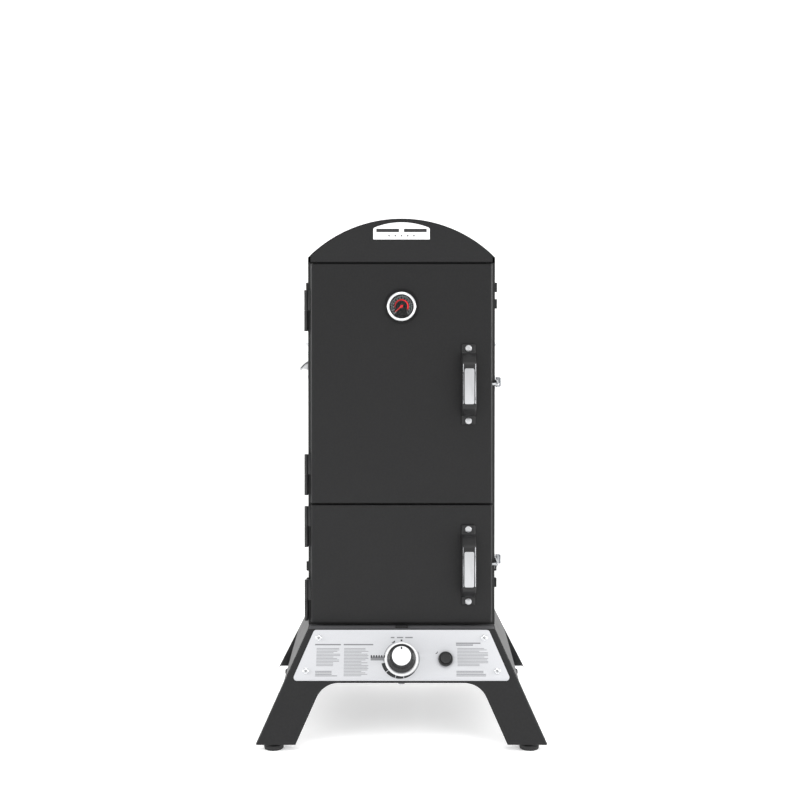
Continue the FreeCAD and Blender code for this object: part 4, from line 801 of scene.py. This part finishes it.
printed("print_heat_band", [
    ring_part((0.0405, 0.0405), (0.0490, 0.0488), 192, 219),
    ring_part((0.0405, 0.0405), (0.0486, 0.0474), 221, 250),
    ring_part((0.0405, 0.0408), (0.0472, 0.0458), 252, 276),
    ring_part((0.0408, 0.0418), (0.0456, 0.0436), 278, 318)],
    print_dark)
white_print = finish_material("white_screen_print", ("#F4F4F5", "#FFFFFF"), 1.0, 0.002, rough=(0.45, 0.55))
printed("print_knob_halo", [ring_part((0.0350, 0.0350), (0.0398, 0.0398), a, a + 120)
                            for a in (0, 120, 240)],
        white_print)
printed("print_light_band", [ring_part((0.0416, 0.0422), (0.0436, 0.0436), 319, 385),
                             ring_part((0.0420, 0.0420), (0.0434, 0.0434), 116, 188)], print_grey)
arrow = [(-0.0245, 0.0345), (-0.0155, 0.0285), (-0.0160, 0.0335)]
printed("print_arrows", [arrow, bar(-0.0022, 0.0022, 0.0283, 0.004),
                         [(igniter_x - 0.0250, 0.0610), (igniter_x - 0.0175, 0.0540),
                          (igniter_x - 0.0200, 0.0600)]],
        print_dark)
printed("print_knob_words", [bar(x0, x1, 0.0216, 0.0030) for x0,
                             x1 in ((-0.026, -0.017), (-0.011, 0.004), (0.009, 0.027))],
        print_grey)
printed("print_scale_base", [bar(-0.074, -0.042, 0.0715, 0.0095)], print_grey)
printed("print_scale_teeth", [bar(-0.074 + 0.0062 * i, -0.0705 + 0.0062 * i, 0.0668, 0.0060)
                              for i in range(6)], print_dark)


# Knob and igniter.
# A black moulded skirt with finger flutes and a satin aluminium cap with a dark index mark, on the
# valve's brass stem. Beside it stands the igniter: a threaded barrel, its bezel and a push button.
knob_plastic = finish_material("black_moulded_knob", ("#0F0F10", "#161617"), 1.4, 0.03, rough=(0.4, 0.52))
# Satin aluminium with a faint white emission added as a painted glow, for the light the cap reflects.
satin_cap_glow = finish_material("satin_aluminium_cap_painted_glow", ("#D2D3D5", "#E0E1E2"), 1.0, 0.003, (8, 1, 1),
                            Roughness=0.4,
                            Metallic=0.15,
                            **{"Emission Color": colour("#FFFFFF"), "Emission Strength": 0.16})
turned_brass = finish_material("turned_brass", ("#A98B45", "#BE9F55"), 0.6, 0.006, (1, 1, 8),
                               rough=(0.28, 0.4),
                               Metallic=1.0)


def on_slope_piece(name, build, across, body, material, replaces=(), angle=30):
    """A piece that stands on the front slope at the height of the controls."""
    piece = sculpt(name, build)
    return ride(lie(piece, slope_matrix(across, KNOB_DOWN, 0)), body, material, angle, replaces)


def knob_skirt(bm):
    """The skirt: a rolled rim, a sloping side with shallow flutes and the seat of its cap."""
    profile = [(0.0041, 0.007), (0.0328, 0.007), (0.0338, 0.0076), (0.0340, 0.0086), (0.0340, 0.0132),
               (0.0334, 0.0144),
               (0.0296, 0.0170), (0.0272, 0.0196), (0.0262, 0.024), (0.0256, 0.030), (0.0248, 0.0352),
               (0.0238, 0.0366), (0.0228, 0.0369), (0, 0.0369), (0, 0.027), (0.0041, 0.027),
               (0.0041, 0.007)]
    lathe(bm, profile, 120)
    for vert in bm.verts:
        radius = math.hypot(vert.co.x, vert.co.y)
        if 0.0165 < vert.co.z < 0.0345 and radius > 0.02:
            flute = 1 - 0.018 * (0.5 + 0.5 * math.cos(24 * math.atan2(vert.co.y, vert.co.x)))
            vert.co.x *= flute
            vert.co.y *= flute


on_slope_piece("knob_skirt_moulding", knob_skirt, 0, "knob", knob_plastic, ["knob_skirt"])
cap_profile = [(0, 0.0371), (0.0223, 0.0371), (0.0225, 0.0374), (0.0225, 0.0402), (0.0222, 0.0412),
               (0.0214, 0.0418),
               (0.0204, 0.0420), (0, 0.0420)]
on_slope_piece("knob_face_cap", lambda bm: lathe(bm, cap_profile, 96), 0, "knob", satin_cap_glow,
               ["knob_cap"])
index = [(-0.0019, 0.0150), (0.0019, 0.0150), (0.0019, 0.0206), (-0.0019, 0.0206)]
on_slope_piece("knob_index_mark", lambda bm: prism(bm, index, 0.04195, 0.0421), 0, "knob",
               print_dark)
barrel = [(0, -0.030), (0.0138, -0.030), (0.0138, -0.006), (0.0149, -0.005), (0.0149, 0.0020),
          (0.0172, 0.0020),
          (0.01725, 0.0026), (0.01725, 0.0072), (0.0168, 0.0084), (0.0158, 0.0090), (0.0136, 0.0090),
          (0.0129, 0.0084), (0.0129, -0.028), (0, -0.028)]
on_slope_piece("igniter_barrel", lambda bm: lathe(bm, barrel, 72), igniter_x, "cabinet",
               knob_plastic,
               ["igniter_housing"])
button = [(0, -0.020), (0.0125, -0.020), (0.0125, 0.0112), (0.0121, 0.0124), (0.0112, 0.0130),
          (0.0085, 0.0127),
          (0, 0.0122)]
on_slope_piece("igniter_push_button", lambda bm: lathe(bm, button, 64), igniter_x, "igniter",
               knob_plastic, ["igniter_button"])
frame["nodes"]["valve_stem"].data.materials.clear()
frame["nodes"]["valve_stem"].data.materials.append(turned_brass)


def dress(nodes, material):
    """Give CAD nodes that keep their own mesh a finish."""
    for node in nodes:
        frame["nodes"][node].data.materials.clear()
        frame["nodes"][node].data.materials.append(material)


# Ledge and feet.
# The deck is coloured a lighter grey as a painted highlight, for the light its top-facing front strip catches, and
# carries a black rubber bumper.
# Each leg stands on a moulded foot with a grip ring, on a zinc stud with its lock nut.
# Painted highlight: the whole deck gets a lighter grey coat in place of the light its front strip catches.
ledge_painted_highlight = finish_material("powder_coated_ledge_painted_highlight", ("#515153", "#5C5C5E"), 5.0, 0.05, rough=(0.34, 0.44))
rubber = finish_material("black_moulded_rubber", ("#0D0D0E", "#141415"), 1.2, 0.05, rough=(0.55, 0.7))
dress(["base_deck"], ledge_painted_highlight)
bump_low, bump_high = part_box("ledge_bumper")


def bumper(bm):
    """A soft block with a domed top."""
    plan = rounded([(bump_low.x, bump_low.y), (bump_high.x, bump_low.y), (bump_high.x, bump_high.y),
                    (bump_low.x, bump_high.y)], 0.003)
    top = prism(bm, plan, bump_low.z, bump_high.z)
    bmesh.ops.bevel(bm, geom=list(top.edges), offset=0.0012, segments=3, affect="EDGES")


ride(sculpt("ledge_rubber_bumper", bumper), "cabinet", rubber, 50, ["ledge_bumper"])
foot_profile = [(0, 0), (0.0205, 0), (0.0222, 0.0008), (0.0230, 0.0026), (0.0230, 0.0088), (0.0224, 0.0104),
                (0.0206, 0.0112), (0.0160, 0.0118), (0.0138, 0.0136), (0.0130, 0.0160), (0.0040, 0.0160),
                (0.0040, 0.0190), (0, 0.0190)]
stud_profile = [(0, 0.0189), (0.0068, 0.0189), (0.0070, 0.0194), (0.0070, 0.0246), (0.0066, 0.0250),
                (0.0040, 0.0250),
                (0.0040, 0.0392), (0.0034, 0.0400), (0, 0.0400)]
for name in ("foot_front_left", "foot_front_right", "foot_rear_left", "foot_rear_right"):
    at = Matrix.Translation(next(m["pos_m"] for m in frame["record"]["mounts"] if m["name"] == name))
    foot = sculpt(name, lambda bm: lathe(bm, foot_profile, 56))
    ride(lie(foot, at), "cabinet", rubber, 30, ["levelling_feet"])
    stud = sculpt(f"{name}_stud", lambda bm: lathe(bm, stud_profile, 6 * 6))
    ride(lie(stud, at), "cabinet", bright_screw, 30)


# Side fittings.
# Four dampers of black-coated steel: a fixed seat with three vents, and a disc with two finger grips
# that turns on a rivet. The opener on the left wall is cast, and acorn nuts close two wall studs.
cast_steel = finish_material("satin_cast_steel", ("#B7B8BA", "#CFD0D2"), 1.5, 0.02, rough=(0.3, 0.42),
                             Metallic=0.8)
black_screw_coat = finish_material("black_oxide_screw", ("#101011", "#19191A"), 0.8, 0.01,
                                   rough=(0.35, 0.5),
                                   Metallic=0.4)
WALL_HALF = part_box("right_wall")[1].x


def beside(sign, y, z, out=0.0):
    """A frame on a side wall: z points out of it and y up."""
    axes = Matrix(((0, 0, sign, 0), (sign, 0, 0, 0), (0, 1, 0, 0), (0, 0, 0, 1)))
    return Matrix.Translation((sign * (WALL_HALF + out), y, z)) @ axes


damper_joints = {j["child"]: j for j in frame["joints"] if j["child"].startswith("damper_")}
refined("damper_seat_plates", "cabinet", "damper_seats", powder_coat, 0.0005)
for child, joint in damper_joints.items():
    level, side = child.split("_")[1:]
    sign = -1 if side == "left" else 1
    refined(f"{level}_{side}_damper_disc", child, f"{level}_{side}_damper", powder_coat,
            0.0006)
    for up in (-1, 1):
        head = [(0, -0.006), (0.0024, -0.006), (0.0024, 0), (0.0040, 0), (0.0040, 0.0006), (0.0036, 0.0016),
                (0.0024, 0.0023), (0, 0.0024)]
        screw = sculpt(f"{child}_screw_{'top' if up > 0 else 'low'}", lambda bm: lathe(bm, head, 28))
        lie(screw, beside(sign, 0, joint["pos_m"][2] + up * 0.0425, 0.002))
        ride(screw, "cabinet", black_screw_coat, 30, ["damper_fasteners"])
    rivet = [(0, 0), (0.0029, 0), (0.0029, 0.0048), (0.0060, 0.0048), (0.0060, 0.0053), (0.0050, 0.0060),
             (0, 0.0063)]
    pin = sculpt(f"{child}_rivet", lambda bm: lathe(bm, rivet, 32))
    ride(lie(pin, beside(sign, 0, joint["pos_m"][2])), "cabinet", black_screw_coat)
opener_low, opener_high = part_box("bottle_opener")
opener_y, opener_z = (opener_low.y + opener_high.y) / 2, (opener_low.z + opener_high.z) / 2


def bridge(bm, near, far):
    """A solid between two matching loops of points."""
    first, last = [bm.verts.new(point) for point in near], [bm.verts.new(point) for point in far]
    bm.faces.new(first)
    bm.faces.new(last[::-1])
    for i in range(len(first)):
        j = (i + 1) % len(first)
        bm.faces.new((first[j], first[i], last[i], last[j]))


def opener_casting(bm):
    """A rounded back plate, and a hollow lip that slants down and out like a beak."""
    half, tall = (opener_high.y - opener_low.y) / 2, (opener_high.z - opener_low.z) / 2
    prism(bm, rounded([(-half, -tall), (half, -tall), (half, tall), (-half, tall)], 0.009), 0, 0.003)
    reach, wall = -WALL_HALF - opener_low.x, 0.003
    beak = [(0.002, 0.011), (0.008, 0.0085), (0.016, 0.002), (reach - 0.001, -0.006), (reach, -0.0105),
            (reach - 0.0025, -0.0120), (reach - 0.005, -0.0115), (0.014, -0.003), (0.008, 0.003),
            (0.002, 0.005)]
    lip = half - 0.001
    bridge(bm, [(-lip, up, out) for out, up in beak], [(lip, up, out) for out, up in beak])
    for side in (-1, 1):
        cheek = [(0.002, 0.010), (0.008, 0.0075), (0.016, 0.001), (reach - 0.002, -0.007), (0.010, -0.010),
                 (0.002, -0.011)]
        near, far = side * lip, side * (lip - wall)
        bridge(bm, [(near, up, out) for out, up in cheek], [(far, up, out) for out, up in cheek])


opener = lie(sculpt("cast_bottle_opener", opener_casting), beside(-1, opener_y, opener_z))
ride(soften(opener, 0.0008), "cabinet", cast_steel, replaces=["bottle_opener"])
for name, up in (("upper", 1), ("lower", -1)):
    dome_screw(f"opener_{name}_screw", "cabinet", beside(-1, opener_y, opener_z + up * 0.029, 0.003),
               0.0044, 0.0026)
    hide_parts("side_fasteners")


def acorn_nut(bm):
    """A hexagon nut with a domed cap."""
    hexagon = [(0.0057 * math.cos(math.tau * i / 6), 0.0057 * math.sin(math.tau * i / 6)) for i in range(6)]
    prism(bm, hexagon, 0, 0.0055)
    dome = [(0.0045 * math.cos(t), 0.0062 + 0.0052 * math.sin(t))
            for t in [math.radians(15 * i) for i in range(6)]]
    lathe(bm, [(0, 0.005), (0.0045, 0.005)] + dome + [(0, 0.0115)], 32)


nut_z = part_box("side_fasteners")[1].z - 0.005
for side, sign in (("left", -1), ("right", 1)):
    nut = lie(sculpt(f"{side}_acorn_nut", acorn_nut), beside(sign, opener_y, nut_z))
    ride(nut, "cabinet", bright_screw)


# Latches.
# A stainless lever on a headed pin, with a hook that drops over the door's keeper peg and a turned-out
# finger tab, on a square base plate welded to the right-hand wall.
latch_steel = finish_material("brushed_stainless_latch", ("#8F9194", "#A9ABAE"), 1.5, 0.008, (1, 6, 1),
                              rough=(0.2, 0.3), Metallic=1.0)
refined("latch_base_plates", "cabinet", "latch_bases", latch_steel, 0.0006)


def latch_lever(bm):
    """The arm with its hook and rounded heel, and the finger tab rolled over at its outer edge."""
    arm = [(-0.058, 0.0036), (-0.058, 0.0062), (-0.0562, 0.0080), (0.006, 0.0080), (0.0115, 0.0066),
           (0.014, 0.003),
           (0.014, -0.003), (0.0115, -0.0066), (0.006, -0.0080), (-0.040, -0.0080), (-0.044, -0.0060),
           (-0.044, 0.0016), (-0.0455, 0.0036)]
    prism(bm, arm, 0.003, 0.007)
    curl = [(0.0105 + 0.0022 * math.cos(t), 0.0165 + 0.0022 * math.sin(t))
            for t in [math.radians(30 * i) for i in range(12)]]
    sheet = [(0.0095, 0.005), (0.0115, 0.005), (0.0115, 0.0160), (0.0095, 0.0160)]
    for section, half in ((sheet, 0.0125), (curl, 0.0105)):
        bridge(bm, [(x, -half, out) for x, out in section], [(x, half, out) for x, out in section])


for level in ("upper", "lower"):
    pivot = next(j for j in frame["joints"] if j["name"] == f"{level}_latch_lift")["pos_m"]
    lever = lie(sculpt(f"{level}_latch_lever_arm", latch_lever), beside(1, pivot[1], pivot[2]))
    ride(soften(lever, 0.0008), f"{level}_latch", latch_steel, 40, [f"{level}_latch_lever"])


# Back wall rivets.
# The back wall is riveted to flanges folded in from the side walls. Each rivet is a low aluminium dome,
# coated with the cabinet.
back_low, back_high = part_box("back_wall")
RIVET_INSET, RIVET_ROWS = 0.012, 7


def back_rivets(bm):
    """Two columns of blind rivet heads, evenly spaced down the wall."""
    for side in (back_low.x + RIVET_INSET, back_high.x - RIVET_INSET):
        for row in range(RIVET_ROWS):
            height = back_low.z + 0.03 + (back_high.z - back_low.z - 0.06) * row / (RIVET_ROWS - 1)
            before = set(bm.verts)
            lathe(bm, [(0.0044, 0), (0.0043, 0.0005), (0.0036, 0.0013), (0.0021, 0.0018), (0, 0.0020)], 24)
            for vert in set(bm.verts) - before:
                x, y, out = vert.co
                vert.co = (side - x, back_high.y + out - 0.0001, height + y)


ride(sculpt("back_wall_rivets", back_rivets), "cabinet", powder_coat)


# Burner and gas fittings.
# A cast valve block with a threaded inlet, a seamless tube to the round cast-iron burner, and the
# strap that holds the burner over the hole in the floor.
cast_zinc = finish_material("die_cast_valve_body", ("#8B8C8E", "#A3A4A6"), 2.0, 0.03, rough=(0.45, 0.6),
                            Metallic=0.8)
cast_iron = finish_material("seasoned_cast_iron", ("#161514", "#242220"), 1.6, 0.12, rough=(0.55, 0.75),
                            Metallic=0.3)
tube_steel = finish_material("aluminised_steel_tube", ("#8F9193", "#A9ABAD"), 1.8, 0.01, (1, 8, 8),
                             rough=(0.3, 0.45),
                             Metallic=0.9)
refined("valve_casting", "cabinet", "gas_valve", cast_zinc, 0.0008)
refined("burner_casting", "cabinet", "burner_head", cast_iron, 0.001)
dress(["burner_tube"], tube_steel)


def burner_ports(bm):
    """A ring of flame ports round the burner's sloping rim."""
    low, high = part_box("burner_head")
    mid = (low + high) / 2
    for i in range(36):
        turn = math.tau * i / 36
        at = Matrix.Translation((0.0565 * math.cos(turn) + mid.x, 0.0565 * math.sin(turn) + mid.y,
                                 high.z - 0.0035))
        bmesh.ops.create_cone(bm, cap_ends=True, segments=12, radius1=0.0017, radius2=0.0013, depth=0.0012,
                              matrix=at @ Matrix.Rotation(turn, 4,
                                                          "Z") @ Matrix.Rotation(math.radians(26.6), 4,
                                                                                 "Y"))


ride(sculpt("burner_flame_ports", burner_ports), "cabinet", recess_shade)


# Cooking gear.
# Chromed wire grids on zinc-plated angle rails, a speckled enamel water bowl, and a cast-iron chip box
# with a hinged lid that has a cross rib and a row of smoke holes.
chrome_wire = finish_material("chromed_grid_wire", ("#B9BBBE", "#CFD1D4"), 2.0, 0.006, rough=(0.12, 0.24),
                              Metallic=1.0)
zinc_rail = finish_material("zinc_plated_rail", ("#8C8F91", "#A5A8AA"), 7.0, 0.01, rough=(0.32, 0.46),
                            Metallic=0.9)
speckled_enamel = finish_material("speckled_porcelain_enamel", ("#0B0C10", "#4A4D55"), 1.3, 0.006,
                                  (1, 1, 1),
                                  (0.62, 0.68), rough=(0.1, 0.2))
woven_seal = finish_material("woven_fibreglass_seal", ("#141415", "#2B2B2C"), 1.5, 0.25, (1, 1, 2),
                             rough=(0.8, 0.95))
dress([f"cooking_grid_{i}" for i in range(1, 5)], chrome_wire)
dress(["shelf_supports"], zinc_rail)
dress(["water_bowl"], speckled_enamel)
dress(["door_seals"], woven_seal)
refined("chip_box_casting", "cabinet", "chip_box", cast_iron, 0.0009)
refined("chip_lid_casting", "chip_lid", "chip_box_lid", cast_iron, 0.0006)
